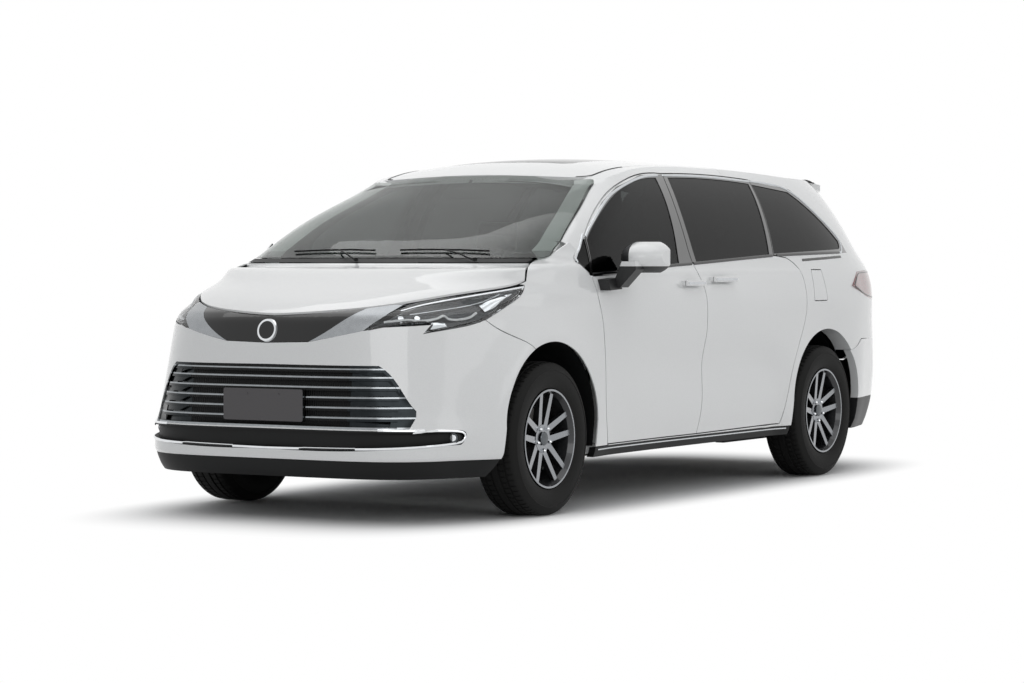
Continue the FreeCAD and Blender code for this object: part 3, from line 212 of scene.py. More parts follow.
# Finishes that vary with one grain: two colours, the grain's size and depth in mm, roughness, strength of the relief,
# and the shader's other values
GRAINED = {
    # Piano-black ABS under clear lacquer: deep black with a sharp reflection and faint wash marks
    "gloss_black_abs": ("#050606", "#0b0c0d", 30, 0.02, (0.06, 0.12), 0.15,
                        {"Coat Weight": 0.4, "Coat Roughness": 0.03, "Specular IOR Level": 0.25}),
    # Moulded polypropylene with a leather-like grain, 1.2 mm across, drawn 3 mm so that it shows
    "grained_polypropylene": ("#0b0c0c", "#151617", 3, 0.12, (0.42, 0.62), 0.6, {"Specular IOR Level": 0.2}),
    # Soft-touch moulded skin of the dashboard and wheel: charcoal, matt, finely grained
    "soft_touch_skin": ("#1d1e20", "#2a2b2d", 2.5, 0.1, (0.55, 0.75), 0.5, {}),
    # Satin chrome plate: pale metal that spreads its highlights, with the faintest waviness
    "satin_chrome_plate": ("#b4b7ba", "#cdd0d3", 25, 0.02, (0.2, 0.3), 0.2, METAL),
    # The same plate on the grille's wings, painted a shade darker as painted shade
    "satin_chrome_wings": ("#8b8e91", "#9da0a3", 25, 0.02, (0.22, 0.32), 0.2, METAL),
    # Polished chrome plate: a near mirror, a little hazed by handling
    "bright_chrome_plate": ("#d3d6d9", "#e6e8ea", 40, 0.01, (0.05, 0.12), 0.2, METAL),
    # Dark chrome plate: smoky metal with long soft reflections
    "smoked_chrome_plate": ("#4b4e51", "#63676a", 25, 0.02, (0.16, 0.28), 0.2, METAL),
    # Steel dipped in black primer: dull, slightly mottled with road dust
    "dipped_steel": ("#17181a", "#26272a", 18, 0.1, (0.5, 0.7), 0.4, {}),
    # Sand-cast iron: dark grey, pitted in grains of 2.5 mm, with a brown tinge
    "sand_cast_iron": ("#2b2a2a", "#454341", 2.5, 0.25, (0.5, 0.72), 0.7, {"Metallic": 0.6}),
    # Rolled stainless pipe that heat has browned
    "rolled_stainless": ("#6f675e", "#8d8880", 35, 0.05, (0.3, 0.45), 0.3, METAL),
    # Silvered mirror glass behind a faint film
    "silvered_mirror_glass": ("#c4c9cc", "#d2d6d8", 60, 0.005, (0.02, 0.05), 0.1, METAL),
    # Die-cast aluminium: pale dull grey with a fine skin
    "die_cast_aluminium": ("#6e7072", "#86888a", 4, 0.15, (0.45, 0.6), 0.5, {"Metallic": 0.8}),
    # Tyre rubber: warm black, matt, finely pocked, with dust between the ribs
    "tyre_rubber": ("#0a0a0a", "#151514", 6, 0.12, (0.6, 0.82), 0.5, {"Specular IOR Level": 0.2}),
    # Frosted light guide of an unlit lamp: milky acrylic
    "frosted_light_guide": ("#e6e8ea", "#f5f6f7", 8, 0.05, (0.2, 0.35), 0.3, {"Coat Weight": 1.0}),
}

# Which finish each CAD node has
NODE_FINISHES = {
    "pearl_clearcoat": "bonnet bonnet_frame front_bumper fuel_door tailgate fender_left fender_right",
    "pearl_clearcoat_and_frame_film": "body_side_left body_side_right front_door_left front_door_right "
                                      "slide_door_left slide_door_right",
    "pearl_clearcoat_on_bumper": "rear_bumper",
    "pearl_clearcoat_on_mirror": "mirror_left mirror_right",
    "roof_pearl_clearcoat": "roof_panel",
    "laminated_windshield": "windshield",
    "tinted_door_glass": "front_door_glass_left front_door_glass_right",
    "privacy_glass": "sunroof slide_door_glass fixed_side_glass tailgate_glass",
    "clear_polycarbonate": "headlamps",
    "red_acrylic": "tail_lamps",
    "gloss_black_abs": "upper_insert",
    "satin_chrome_wings": "grille_wings",
    "smoked_chrome_bars_over_mesh": "lower_grille",
    "grained_polypropylene": "wipers cowl air_dam lower_intake side_skirts wheelhouse_liners",
    "smoked_cast_aluminium": "wheel_front_left wheel_front_right wheel_rear_left wheel_rear_right",
    "sand_cast_iron": "knuckle_front_left knuckle_front_right",
    "dipped_steel": "front_frame front_subframe rear_axle",
    "die_cast_aluminium": "engine",
    "rolled_stainless": "exhaust",
    "carpeted_floor_pan": "floor_pan",
    "soft_touch_skin": "dashboard steering_wheel",
}


def linear(hex_colour):
    """An sRGB hex colour as linear red, green, blue and alpha."""
    values = [int(hex_colour[i:i + 2], 16) / 255 for i in (1, 3, 5)]
    return tuple(v / 12.92 if v <= 0.04045 else ((v + 0.055) / 1.055) ** 2.4 for v in values) + (1.0,)


def colour_property(name, description, hex_colour):
    return bpy.props.FloatVectorProperty(name=name, description=description, subtype="COLOR", size=3, min=0, max=1,
                                         default=linear(hex_colour)[:3])


# Sizes and colours that a user would change
class MinivanSizes(bpy.types.PropertyGroup):
    trim_width: bpy.props.FloatProperty(name="Trim width", description="Width of the bright window trim",
                                        default=0.013, unit="LENGTH")
    tread_depth: bpy.props.FloatProperty(name="Tread depth", description="Depth of the tyres' grooves",
                                         default=0.0075, unit="LENGTH")
    disc_radius: bpy.props.FloatProperty(name="Brake disc radius", description="Radius of each brake disc",
                                         default=0.158, unit="LENGTH")


class MinivanColours(bpy.types.PropertyGroup):
    body: colour_property("Body", "Colour of the pearl paint", "#eceded")
    wheel: colour_property("Wheels", "Colour of the wheels", "#8d9094")
    plate: colour_property("Plate", "Colour of the blank number plate", "#4a484a")
    seats: colour_property("Seats", "Colour of the seat covers", "#26272a")
    floor: colour_property("Floor", "Colour of the studio floor", "#f2f2f2")


def chosen(kind, share=1.0):
    """The user's colour for a kind of piece, darkened to a share of itself."""
    return tuple(share * value for value in getattr(bpy.context.scene.minivan_colours, kind)) + (1.0,)


# Materials. A noise or a Voronoi cell is about 1 m wide over its scale, and a wave's bands are 0.314 m over theirs
def add_node(material, kind, inputs=None, output=0, **settings):
    """Add one shader node. Its inputs take other nodes' outputs or plain values, and one output comes back."""
    node = material.node_tree.nodes.new("ShaderNode" + kind)
    for key, value in settings.items():
        setattr(node, key, value)
    for key, value in (inputs or {}).items():
        if isinstance(value, bpy.types.NodeSocket):
            material.node_tree.links.new(value, node.inputs[key])
        else:
            node.inputs[key].default_value = value
    return node.outputs[output] if node.outputs else None


def layer(material, pattern, low, high, rough, depth_mm=0.0, strength=1.0, rest=None, relief=None):
    """A surface whose colour, roughness and relief follow a pattern. The relief may have a pattern of its own."""
    low, high = (linear(shade) if isinstance(shade, str) else shade for shade in (low, high))
    ramp = add_node(material, "ValToRGB", {"Fac": pattern})
    for element, shade in zip(ramp.node.color_ramp.elements, (low, high)):
        element.color = shade
    inputs = {"Base Color": ramp}
    inputs["Roughness"] = add_node(material, "MapRange",
                                   {"Value": pattern, "To Min": rough[0], "To Max": rough[1]})
    if depth_mm:
        inputs["Normal"] = add_node(material, "Bump", {
            "Height": relief or pattern, "Distance": depth_mm / 1000, "Strength": strength})
    inputs.update(rest or {})
    return add_node(material, "BsdfPrincipled", inputs)


def finish(name):
    """The material of that name, made the first time that it is asked for."""
    material = bpy.data.materials.get(name)
    if material is None:
        material = bpy.data.materials.new(name)
        material.use_nodes = True
        material.node_tree.nodes.clear()
        place = add_node(material, "TexCoord", output="Object")
        if name in GRAINED:
            low, high, grain_mm, depth_mm, rough, strength, rest = GRAINED[name]
            grain = add_node(material, "TexNoise",
                             {"Vector": place, "Scale": 1000 / grain_mm, "Detail": 3.0})
            surface = layer(material, grain, low, high, rough, depth_mm, strength, rest)
        else:
            build, settings = BUILT[name]
            surface = build(material, place, **settings)
        add_node(material, "OutputMaterial", {"Surface": surface})
    return material


def facing(material, axis):
    """How far a face points along an axis of the car, from -1 to 1."""
    normal = add_node(material, "TexCoord", output="Normal")
    return add_node(material, "SeparateXYZ", {"Vector": normal}, axis)


def lamp_housing(material, place):
    """Moulded lamp housing of smoked polycarbonate: flutes 6 mm apart run across it as a relief, and its colour runs
    from near black to mid grey across each flute as painted streaks of light.
    """
    flutes_and_painted_streaks = add_node(material, "TexWave", {"Vector": place, "Scale": 55.0, "Distortion": 1.5}, "Fac",
                      bands_direction="Z")
    # The colour's lighter bands along the flutes are painted highlights. The bump is the flutes' real relief
    return layer(material, flutes_and_painted_streaks, "#131415", "#55585b", (0.14, 0.3), 0.6, 0.5, {"Metallic": 0.85})


def grille_metal(material, place):
    """The lower grille: dark chrome bars, which spread into plates at both ends, over a black moulded mesh of narrow
    upright slats, 12 mm apart. Each bar's upper edge has a painted highlight, a band of brighter chrome, and the
    grille is bright chrome below its rim."""
    across = add_node(material, "SeparateXYZ", {"Vector": place}, "Y")
    height = add_node(material, "SeparateXYZ", {"Vector": place}, "Z")
    grain = add_node(material, "TexNoise", {"Vector": place, "Scale": 1000 / 25, "Detail": 2.0})
    bright = layer(material, grain, "#7f8386", "#9da1a4", (0.12, 0.22), rest=METAL)
    smoked = layer(material, grain, "#1d2022", "#2b2f31", (0.16, 0.26), rest=METAL)
    slats = add_node(material, "TexWave", {"Vector": place, "Scale": 26.2}, "Fac", bands_direction="Y")
    mesh = layer(material, slats, "#030303", "#0f1011", (0.45, 0.6), 3.0, 0.7, {"Specular IOR Level": 0.15})
    # Bright chrome below the rim, and a painted highlight of bright chrome along each bar's upper edge
    edges = add_node(material, "Math", {0: height, 1: GRILLE_RIM_HEIGHT}, operation="LESS_THAN")
    lift, half = GRILLE_HIGHLIGHT_BAND
    for bar in GRILLE_BAR_HEIGHTS:
        near = add_node(material, "Math", {0: height, 1: bar + lift, 2: half}, operation="COMPARE")
        edges = add_node(material, "Math", {0: edges, 1: near}, operation="MAXIMUM")
    out = add_node(material, "Math", {0: across}, operation="ABSOLUTE")
    plates = add_node(material, "Math", {0: out, 1: GRILLE_PLATES_FROM}, operation="GREATER_THAN")
    surface = add_node(material, "MixShader", {0: plates, 1: mesh, 2: smoked})
    return add_node(material, "MixShader", {0: edges, 1: surface, 2: bright})


def wheel_metal(material, place):
    """Cast aluminium wheel: faces machined bright under clear lacquer, and the rest painted a dark grey."""
    grain = add_node(material, "TexNoise", {"Vector": place, "Scale": 1000 / 12, "Detail": 3.0})
    machined = layer(material, grain, chosen("wheel", 0.86), chosen("wheel"), (0.2, 0.34), 0.02, 0.2,
                     {"Metallic": 1.0, "Coat Weight": 0.6, "Coat Roughness": 0.05})
    painted = layer(material, grain, "#2a2b2d", "#38393b", (0.3, 0.42), rest={"Metallic": 0.7, "Coat Weight": 0.6})
    out = add_node(material, "Math", {0: facing(material, "Y")}, operation="ABSOLUTE")
    face = add_node(material, "Math", {0: out, 1: 0.72}, operation="GREATER_THAN")
    return add_node(material, "MixShader", {0: face, 1: painted, 2: machined})


def brake_iron(material, place):
    """Machined grey iron: a fine grain of marks 3 mm across, coarser than a lathe's so that it shows."""
    marks = add_node(material, "TexNoise", {"Vector": place, "Scale": 330.0, "Detail": 2.0})
    return layer(material, marks, "#7e7d7b", "#9a9896", (0.28, 0.45), 0.05, 0.5, METAL)


def height_curve(material, along, points):
    """A height in metres as a curve over the place along the car."""
    share = add_node(material, "MapRange", {"Value": along, "From Min": CURVE_X[0], "From Max": CURVE_X[1]})
    curve = add_node(material, "FloatCurve", {"Value": share})
    mapping = curve.node.mapping
    line = mapping.curves[0]
    spots = [((x - CURVE_X[0]) / (CURVE_X[1] - CURVE_X[0]), (z - CURVE_Z[0]) / (CURVE_Z[1] - CURVE_Z[0]))
             for x, z in points]
    line.points[0].location = spots[0]
    line.points[-1].location = spots[-1]
    for spot in spots[1:-1]:
        line.points.new(*spot)
    for point in line.points:
        point.handle_type = "VECTOR"
    mapping.update()
    return add_node(material, "MapRange", {"Value": curve, "To Min": CURVE_Z[0], "To Max": CURVE_Z[1]})


def pearl_paint(material, place, window_frames=False, black_below=None):
    """Pearl white basecoat under clear lacquer, baked on pressed steel: flakes of mica, drawn 2.4 mm wide so that they
    show, give a fine sparkle, and the lacquer a faint orange peel. Inner faces are covered with dark moulded trim, and
    window frames with black film."""
    flakes = add_node(material, "TexVoronoi", {"Vector": place, "Scale": 420.0}, "Color")
    peel = add_node(material, "TexNoise", {"Vector": place, "Scale": 1000 / 7, "Detail": 1.0})
    along, across, height = (add_node(material, "SeparateXYZ", {"Vector": place}, axis) for axis in "XYZ")
    surface = layer(material, flakes, chosen("body", 0.93), chosen("body"), (0.32, 0.46), 0.02, 0.12, CLEARCOAT, peel)
    if window_frames:
        film = layer(material, peel, "#070808", "#0e0f10", (0.1, 0.16),
                     rest={"Coat Weight": 1.0, "Coat Roughness": 0.04})
        top, foot = height_curve(material, along, WINDOW_TOP), height_curve(material, along, WINDOW_FOOT)
        under = add_node(material, "Math", {0: height, 1: top}, operation="LESS_THAN")
        over = add_node(material, "Math", {0: height, 1: foot}, operation="GREATER_THAN")
        mask = add_node(material, "Math", {0: under, 1: over}, operation="MULTIPLY")
        surface = add_node(material, "MixShader", {0: mask, 1: surface, 2: film})
    if black_below is not None:
        dark = layer(material, peel, "#101112", "#191a1b", (0.4, 0.55))
        mask = add_node(material, "Math", {0: height, 1: black_below}, operation="LESS_THAN")
        surface = add_node(material, "MixShader", {0: mask, 1: surface, 2: dark})
    lining = layer(material, peel, "#1b1c1e", "#262729", (0.55, 0.75))
    sign = add_node(material, "Math", {0: across}, operation="SIGN")
    sideways = add_node(material, "Math", {0: sign, 1: facing(material, "Y")}, operation="MULTIPLY")
    inward = add_node(material, "Math", {0: sideways, 1: -0.25}, operation="LESS_THAN")
    behind_dash = add_node(material, "Math", {0: along, 1: 1.5}, operation="LESS_THAN")
    cabin = add_node(material, "Math", {0: behind_dash, 1: inward}, operation="MULTIPLY")
    return add_node(material, "MixShader", {0: cabin, 1: surface, 2: lining})


def roof_paint(material, place):
    """The roof's upper side is pearl paint, and its under side a pale woven headlining."""
    flakes = add_node(material, "TexVoronoi", {"Vector": place, "Scale": 420.0}, "Color")
    paint = layer(material, flakes, chosen("body", 0.93), chosen("body"), (0.32, 0.46), rest=CLEARCOAT)
    weave = add_node(material, "TexNoise", {"Vector": place, "Scale": 1000 / 3, "Detail": 2.0})
    lining = layer(material, weave, "#77766f", "#8d8b84", (0.8, 0.95), 0.2, 0.5)
    under = add_node(material, "Math", {0: facing(material, "Z"), 1: -0.3}, operation="LESS_THAN")
    return add_node(material, "MixShader", {0: under, 1: paint, 2: lining})


def floor_sheet(material, place):
    """The floor pan: looped carpet on its upper side, stone-guard coating beneath."""
    pile = add_node(material, "TexNoise", {"Vector": place, "Scale": 1000 / 4, "Detail": 3.0})
    carpet = layer(material, pile, "#1b1b1d", "#2d2d2f", (0.85, 1.0), 1.0, 0.6, {"Sheen Weight": 0.4})
    coat = add_node(material, "TexNoise", {"Vector": place, "Scale": 1000 / 9, "Detail": 3.0})
    under = layer(material, coat, "#141516", "#202122", (0.55, 0.75), 0.4, 0.5)
    top = add_node(material, "Math", {0: facing(material, "Z"), 1: 0.3}, operation="GREATER_THAN")
    return add_node(material, "MixShader", {0: top, 1: under, 2: carpet})


def pane(material, place, low, high, index=1.5):
    """Tempered float glass, tinted in the melt, with a trace of film on its faces, or clear hard-coated polycarbonate
    on the headlamps. The index of the car's windows is drawn lower than glass has, because a studio that is white all
    round would wash them out."""
    film = add_node(material, "TexNoise", {"Vector": place, "Scale": 1000 / 180, "Detail": 2.0})
    return layer(material, film, low, high, (0.0, 0.02), rest={"Transmission Weight": 1.0, "IOR": index})


def red_lens(material, place):
    """Red acrylic lamp lens over a dark housing: deep red, prisms 6 mm across behind it."""
    prisms = add_node(material, "TexVoronoi", {"Vector": place, "Scale": 1000 / 6.25}, "Distance")
    return layer(material, prisms, "#8b1f22", "#4a0d10", (0.12, 0.3), 0.6, 0.4, CLEARCOAT)


def seat_cloth(material, place):
    """Woven seat cloth with a short pile: threads 1 mm apart, drawn 3 mm apart so that they show."""
    warp, weft = (add_node(material, "TexWave", {"Vector": place, "Scale": 105.0}, "Fac",
                           bands_direction=axis) for axis in "YZ")
    threads = add_node(material, "Math", {0: warp, 1: weft}, operation="MULTIPLY")
    return layer(material, threads, chosen("seats", 0.6), chosen("seats"), (0.75, 0.95), 0.3, 0.5,
                 {"Sheen Weight": 0.35})


def plate_enamel(material, place):
    """Blank pressed aluminium plate with a grey stove-enamelled face."""
    grain = add_node(material, "TexNoise", {"Vector": place, "Scale": 1000 / 5, "Detail": 2.0})
    return layer(material, grain, chosen("plate", 0.92), chosen("plate"), (0.45, 0.6), 0.05, 0.3)


def seen_directly(material):
    """1 for what the camera sees straight, through glass or in a reflection, and 0 for light on the car."""
    camera, through, glossy = (add_node(material, "LightPath", output="Is %s Ray" % kind)
                               for kind in ("Camera", "Transmission", "Glossy"))
    seen = add_node(material, "Math", {0: camera, 1: through}, operation="MAXIMUM")
    return add_node(material, "Math", {0: seen, 1: glossy}, operation="MAXIMUM")


def floor_paint(material, place):
    """Matt white studio floor that keeps the shadow near the car and fades to white further out."""
    speckle = add_node(material, "TexNoise", {"Vector": place, "Scale": 1000 / 40, "Detail": 2.0})
    paint = layer(material, speckle, chosen("floor", 0.99), chosen("floor"), (0.9, 0.9),
                  rest={"Specular IOR Level": 0.1})
    flat = add_node(material, "VectorMath", {0: place, 1: (0.40, 1.0, 0.0)}, operation="MULTIPLY")
    squares = add_node(material, "VectorMath", {0: flat, 1: flat}, operation="MULTIPLY")
    away = add_node(material, "VectorMath", {0: squares}, "Value", operation="LENGTH")
    fade = add_node(material, "MapRange", {"Value": away, "From Min": 0.75, "From Max": 1.65},
                    interpolation_type="SMOOTHSTEP")
    share = add_node(material, "Math", {0: fade, 1: seen_directly(material)}, operation="MULTIPLY")
    white = add_node(material, "Emission", {"Color": (1, 1, 1, 1), "Strength": 1.0})
    return add_node(material, "MixShader", {0: share, 1: paint, 2: white})


# Finishes with a build of their own, and what each is given
BUILT = {
    "pearl_clearcoat": (pearl_paint, {}),
    "pearl_clearcoat_and_frame_film": (pearl_paint, {"window_frames": True}),
    "pearl_clearcoat_on_bumper": (pearl_paint, {"black_below": BUMPER_BLACK_BELOW}),
    "pearl_clearcoat_on_mirror": (pearl_paint, {"black_below": MIRROR_BLACK_BELOW}),
    "roof_pearl_clearcoat": (roof_paint, {}),
    "laminated_windshield": (pane, {"low": "#a9b0ad", "high": "#b3b9b6", "index": 1.25}),
    "tinted_door_glass": (pane, {"low": "#313535", "high": "#393d3c", "index": 1.2}),
    "privacy_glass": (pane, {"low": "#1a1d1c", "high": "#222524", "index": 1.2}),
    "clear_polycarbonate": (pane, {"low": "#dfe3e4", "high": "#eef0f1"}),
    "red_acrylic": (red_lens, {}),
    "fluted_lamp_housing": (lamp_housing, {}),
    "smoked_chrome_bars_over_mesh": (grille_metal, {}),
    "smoked_cast_aluminium": (wheel_metal, {}),
    "machined_grey_iron": (brake_iron, {}),
    "carpeted_floor_pan": (floor_sheet, {}),
    "woven_seat_cloth": (seat_cloth, {}),
    "enamelled_plate": (plate_enamel, {}),
    "studio_floor_paint": (floor_paint, {}),
}


# Shapes
def skin_of(*names):
    """The faces of some CAD nodes as one tree that rays are cast at."""
    points, faces = [], []
    for name in names:
        start = len(points)
        points += [v.co.copy() for v in nodes[name].data.vertices]
        faces += [[start + i for i in p.vertices] for p in nodes[name].data.polygons]
    return BVHTree.FromPolygons(points, faces)


# Aims of rays that start outside the car and run inwards. Each takes two measures on the left side and the side
DIAGONAL = math.sqrt(0.5)
AIMS = {
    "side": lambda a, b, s: (Vector((a, s * 1.6, b)), Vector((0, -s, 0))),
    "front": lambda a, b, s: (Vector((3.4, s * a, b)), Vector((-1, 0, 0))),
    "back": lambda a, b, s: (Vector((-3.4, s * a, b)), Vector((1, 0, 0))),
    "top": lambda a, b, s: (Vector((b, s * a, 2.6)), Vector((0, 0, -1))),
    "corner": lambda a, b, s: (Vector(((3.5 - a) * DIAGONAL, s * (3.5 + a) * DIAGONAL, b)),
                               Vector((-DIAGONAL, -s * DIAGONAL, 0))),
}


# How far along a ray that misses the skin the nearest place is looked for
MISSED_AT = 0.9


def corner(points):
    """Points of the left front corner as places seen along the diagonal."""
    return [((y - x) * DIAGONAL, z) for x, y, z in points]


def on_skin(tree, aim, a, b, side=1):
    """The point and normal where a ray along an aim meets a skin, or the skin's nearest place if the ray misses."""
    origin, direction = AIMS[aim](a, b, side)
    point, normal, _, _ = tree.ray_cast(origin, direction)
    if point is None:
        point, normal, _, _ = tree.find_nearest(origin + direction * MISSED_AT)
    if normal.dot(direction) > 0:
        normal = -normal
    return point, normal


def spaced(points, count):
    """Count points evenly spaced along straight runs."""
    points = [Vector(p) for p in points]
    lengths = [0.0]
    for p, q in zip(points, points[1:]):
        lengths.append(lengths[-1] + (q - p).length)
    placed, run = [], 0
    for i in range(count):
        want = lengths[-1] * i / (count - 1)
        while run < len(points) - 2 and lengths[run + 1] < want:
            run += 1
        share = (want - lengths[run]) / max(lengths[run + 1] - lengths[run], 1e-9)
        placed.append(points[run].lerp(points[run + 1], share))
    return placed


def rounded(points, times=2):
    """Straight runs with their corners cut again and again until they look curved."""
    points = [Vector(p) for p in points]
    for _ in range(times):
        cut = [points[0]]
        for p, q in zip(points, points[1:]):
            cut += [p.lerp(q, 0.25), p.lerp(q, 0.75)]
        points = cut + [points[-1]]
    return points


def piece(name, bm, surface, rider="body", sharp=35.0):
    """A mesh made an object with a finish, which rides on a body and is smooth except at its sharp edges."""
    bmesh.ops.remove_doubles(bm, verts=bm.verts, dist=1e-6)
    bmesh.ops.recalc_face_normals(bm, faces=bm.faces)
    for face in bm.faces:
        face.smooth = True
    for edge in bm.edges:
        edge.smooth = edge.calc_face_angle(0.0) < math.radians(sharp)
    mesh = bpy.data.meshes.new(name)
    bm.to_mesh(mesh)
    bm.free()
    mesh.materials.append(finish(surface))
    thing = bpy.data.objects.new(name, mesh)
    bpy.context.scene.collection.objects.link(thing)
    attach(thing, rider)
    return thing


def single(name, surface, slot, shape, *sizes, rider="body", **options):
    """A piece made of one shape alone, which is one of the functions below."""
    bm = bmesh.new()
    shape(bm, *sizes, **options)
    return piece(name, bm, surface, rider)


def panel(bm, tree, aim, lower, upper, steps, rows, lift, depth, side=1, crown=0.0):
    """A plate between two outlines, laid on a skin and raised by lift, with its depth behind it."""
    low, high = spaced(lower, steps + 1), spaced(upper, steps + 1)
    made = bmesh.ops.create_grid(bm, x_segments=steps, y_segments=rows, size=0.5)["verts"]
    normals = {}
    for vert in made:
        column, v = int(round((vert.co.x + 0.5) * steps)), vert.co.y + 0.5
        spot = low[column].lerp(high[column], v)
        point, normal = on_skin(tree, aim, spot[0], spot[1], side)
        normals[vert] = normal
        vert.co = point + normal * (lift + crown * (1 - (2 * v - 1) ** 2))
    faces = list({f for vert in made for f in vert.link_faces})
    front = {vert: vert.co.copy() for vert in made}
    extruded = bmesh.ops.extrude_face_region(bm, geom=faces, use_keep_orig=True)
    for item in extruded["geom"]:
        if isinstance(item, bmesh.types.BMVert):
            source = min(front, key=lambda v: (front[v] - item.co).length_squared)
            item.co = item.co - normals[source] * depth


def plate(bm, first, second, steps, rows, depth):
    """A plate between two lines of points in space, with its depth given as a vector."""
    first, second = spaced(first, rows + 1), spaced(second, rows + 1)
    made = bmesh.ops.create_grid(bm, x_segments=steps, y_segments=rows, size=0.5)["verts"]
    for vert in made:
        row = int(round((vert.co.y + 0.5) * rows))
        vert.co = first[row].lerp(second[row], min(max(vert.co.x + 0.5, 0.0), 1.0))
    faces = list({f for vert in made for f in vert.link_faces})
    extruded = bmesh.ops.extrude_face_region(bm, geom=faces, use_keep_orig=True)
    for item in extruded["geom"]:
        if isinstance(item, bmesh.types.BMVert):
            item.co += depth


def ribbon(bm, tree, aim, path, width, height, sink=0.002, side=1, steps=None, lift=0.0):
    """A crowned strip along a line on a skin, raised by lift, or let into the skin where lift is below zero."""
    line = rounded(path)
    length = sum((q - p).length for p, q in zip(line, line[1:]))
    count = steps or max(8, int(length / 0.02))
    marks = spaced(line, count)
    hits = [on_skin(tree, aim, m[0], m[1], side) for m in marks]
    rings = []
    for i, (point, normal) in enumerate(hits):
        ahead = hits[min(i + 1, len(hits) - 1)][0] - hits[max(i - 1, 0)][0]
        across = normal.cross(ahead).normalized()
        section = [(-0.5, -sink), (-0.5, height * 0.45), (-0.25, height), (0.25, height), (0.5, height * 0.45),
                   (0.5, -sink)]
        rings.append([bm.verts.new(point + across * (width * u) + normal * (h + lift)) for u, h in section])
    loops = []
    for ring in rings:
        loops.append([bm.edges.new((ring[k], ring[(k + 1) % len(ring)])) for k in range(len(ring))])
    for first, second in zip(loops, loops[1:]):
        bmesh.ops.bridge_loops(bm, edges=first + second)
    for ring in (rings[0], rings[-1]):
        bm.faces.new(ring)


def turned(bm, profile, centre, steps, side=1):
    """A ring turned about a line through centre along Y, from (radius, distance outwards) points."""
    start = [bm.verts.new(centre + Vector((radius, side * out, 0))) for radius, out in profile]
    edges = [bm.edges.new((a, b)) for a, b in zip(start, start[1:] + start[:1])]
    bmesh.ops.spin(bm, geom=start + edges, cent=centre, axis=(0, 1, 0), angle=2 * math.pi, steps=steps,
                   use_merge=True, use_duplicate=False)


def disc(bm, centre, axis, radius, depth, segments=24, bevel=0.0):
    """A round boss whose middle is at centre."""
    turn = Vector((0, 0, 1)).rotation_difference(Vector(axis)).to_matrix().to_4x4()
    bmesh.ops.create_cone(bm, cap_ends=True, segments=segments, radius1=radius, radius2=radius - bevel,
                          depth=depth, matrix=Matrix.Translation(centre) @ turn)


def block(bm, low, high, bevel, segments=3):
    """A box between two corners with its edges rounded."""
    low, high = Vector(low), Vector(high)
    place = Matrix.Translation((low + high) / 2) @ Matrix.Diagonal((*(high - low), 1.0))
    made = bmesh.ops.create_cube(bm, size=1.0, matrix=place)["verts"]
    edges = list({edge for vert in made for edge in vert.link_edges})
    bmesh.ops.bevel(bm, geom=edges, offset=bevel, affect="EDGES", segments=segments, profile=0.5, material=-1)


def tube(bm, start, end, radius, segments=16):
    """A round bar between two points."""
    start, end = Vector(start), Vector(end)
    disc(bm, (start + end) / 2, end - start, radius, (end - start).length, segments)


def stuffed(name, size, corner_radius, puff, seam):
    """A foam pad under cloth: a rounded block, remeshed evenly, blown up by a cloth simulation and then sewn down
    along its seams. The pad lies about the origin, with its face to +Z."""
    bm = bmesh.new()
    half = Vector(size) / 2
    block(bm, -half, half, corner_radius, 4)
    mesh = bpy.data.meshes.new(name)
    bm.to_mesh(mesh)
    bm.free()
    pad = bpy.data.objects.new(name, mesh)
    scene = bpy.context.scene
    scene.collection.objects.link(pad)
    remesh = pad.modifiers.new("even_cloth", "REMESH")
    remesh.mode, remesh.voxel_size = "VOXEL", PAD_VOXEL
    pad.data = bpy.data.meshes.new_from_object(pad.evaluated_get(bpy.context.evaluated_depsgraph_get()))
    pad.modifiers.clear()
    start = [v.co.copy() for v in pad.data.vertices]
    cloth = pad.modifiers.new("foam_pressure", "CLOTH")
    cloth.settings.use_pressure = True
    cloth.settings.uniform_pressure_force = PAD_PRESSURE
    cloth.settings.effector_weights.gravity = 0.0
    for step in range(1, PAD_FRAMES + 1):
        scene.frame_set(step)
    blown = bpy.data.meshes.new_from_object(pad.evaluated_get(bpy.context.evaluated_depsgraph_get()))
    pad.modifiers.clear()
    for vert, before, after in zip(pad.data.vertices, start, blown.vertices):
        move = after.co - before
        vert.co = before + move * min(1.0, puff / max(move.length, 1e-9))
    scene.frame_set(1)
    shape = pad.data
    bpy.data.objects.remove(pad)
    bm = bmesh.new()
    bm.from_mesh(shape)
    bmesh.ops.subdivide_edges(bm, edges=bm.edges, cuts=1, smooth=0.6, use_grid_fill=True)
    for vert in bm.verts:
        sunk = 0.0
        for axis, offset in seam:
            away = abs(abs(vert.co[axis]) - offset)
            if away < SEAM_WIDTH and vert.co.z > 0:
                sunk = max(sunk, SEAM_DEPTH * (0.5 + 0.5 * math.cos(math.pi * away / SEAM_WIDTH)))
        vert.co.z -= sunk
    return bm


# Operators
class PieceOperator:
    bl_options = {"REGISTER", "UNDO"}

    def execute(self, context):
        self.make(context)
        return {"FINISHED"}


class MINIVAN_OT_finishes(PieceOperator, bpy.types.Operator):
    """Give every CAD node the finish of the real material"""
    bl_idname = "minivan.finishes"
    bl_label = "Finishes"

    def make(self, context):
        for surface, shown in NODE_FINISHES.items():
            for name in shown.split():
                mesh = nodes[name].data
                mesh.materials.clear()
                mesh.materials.append(finish(surface))


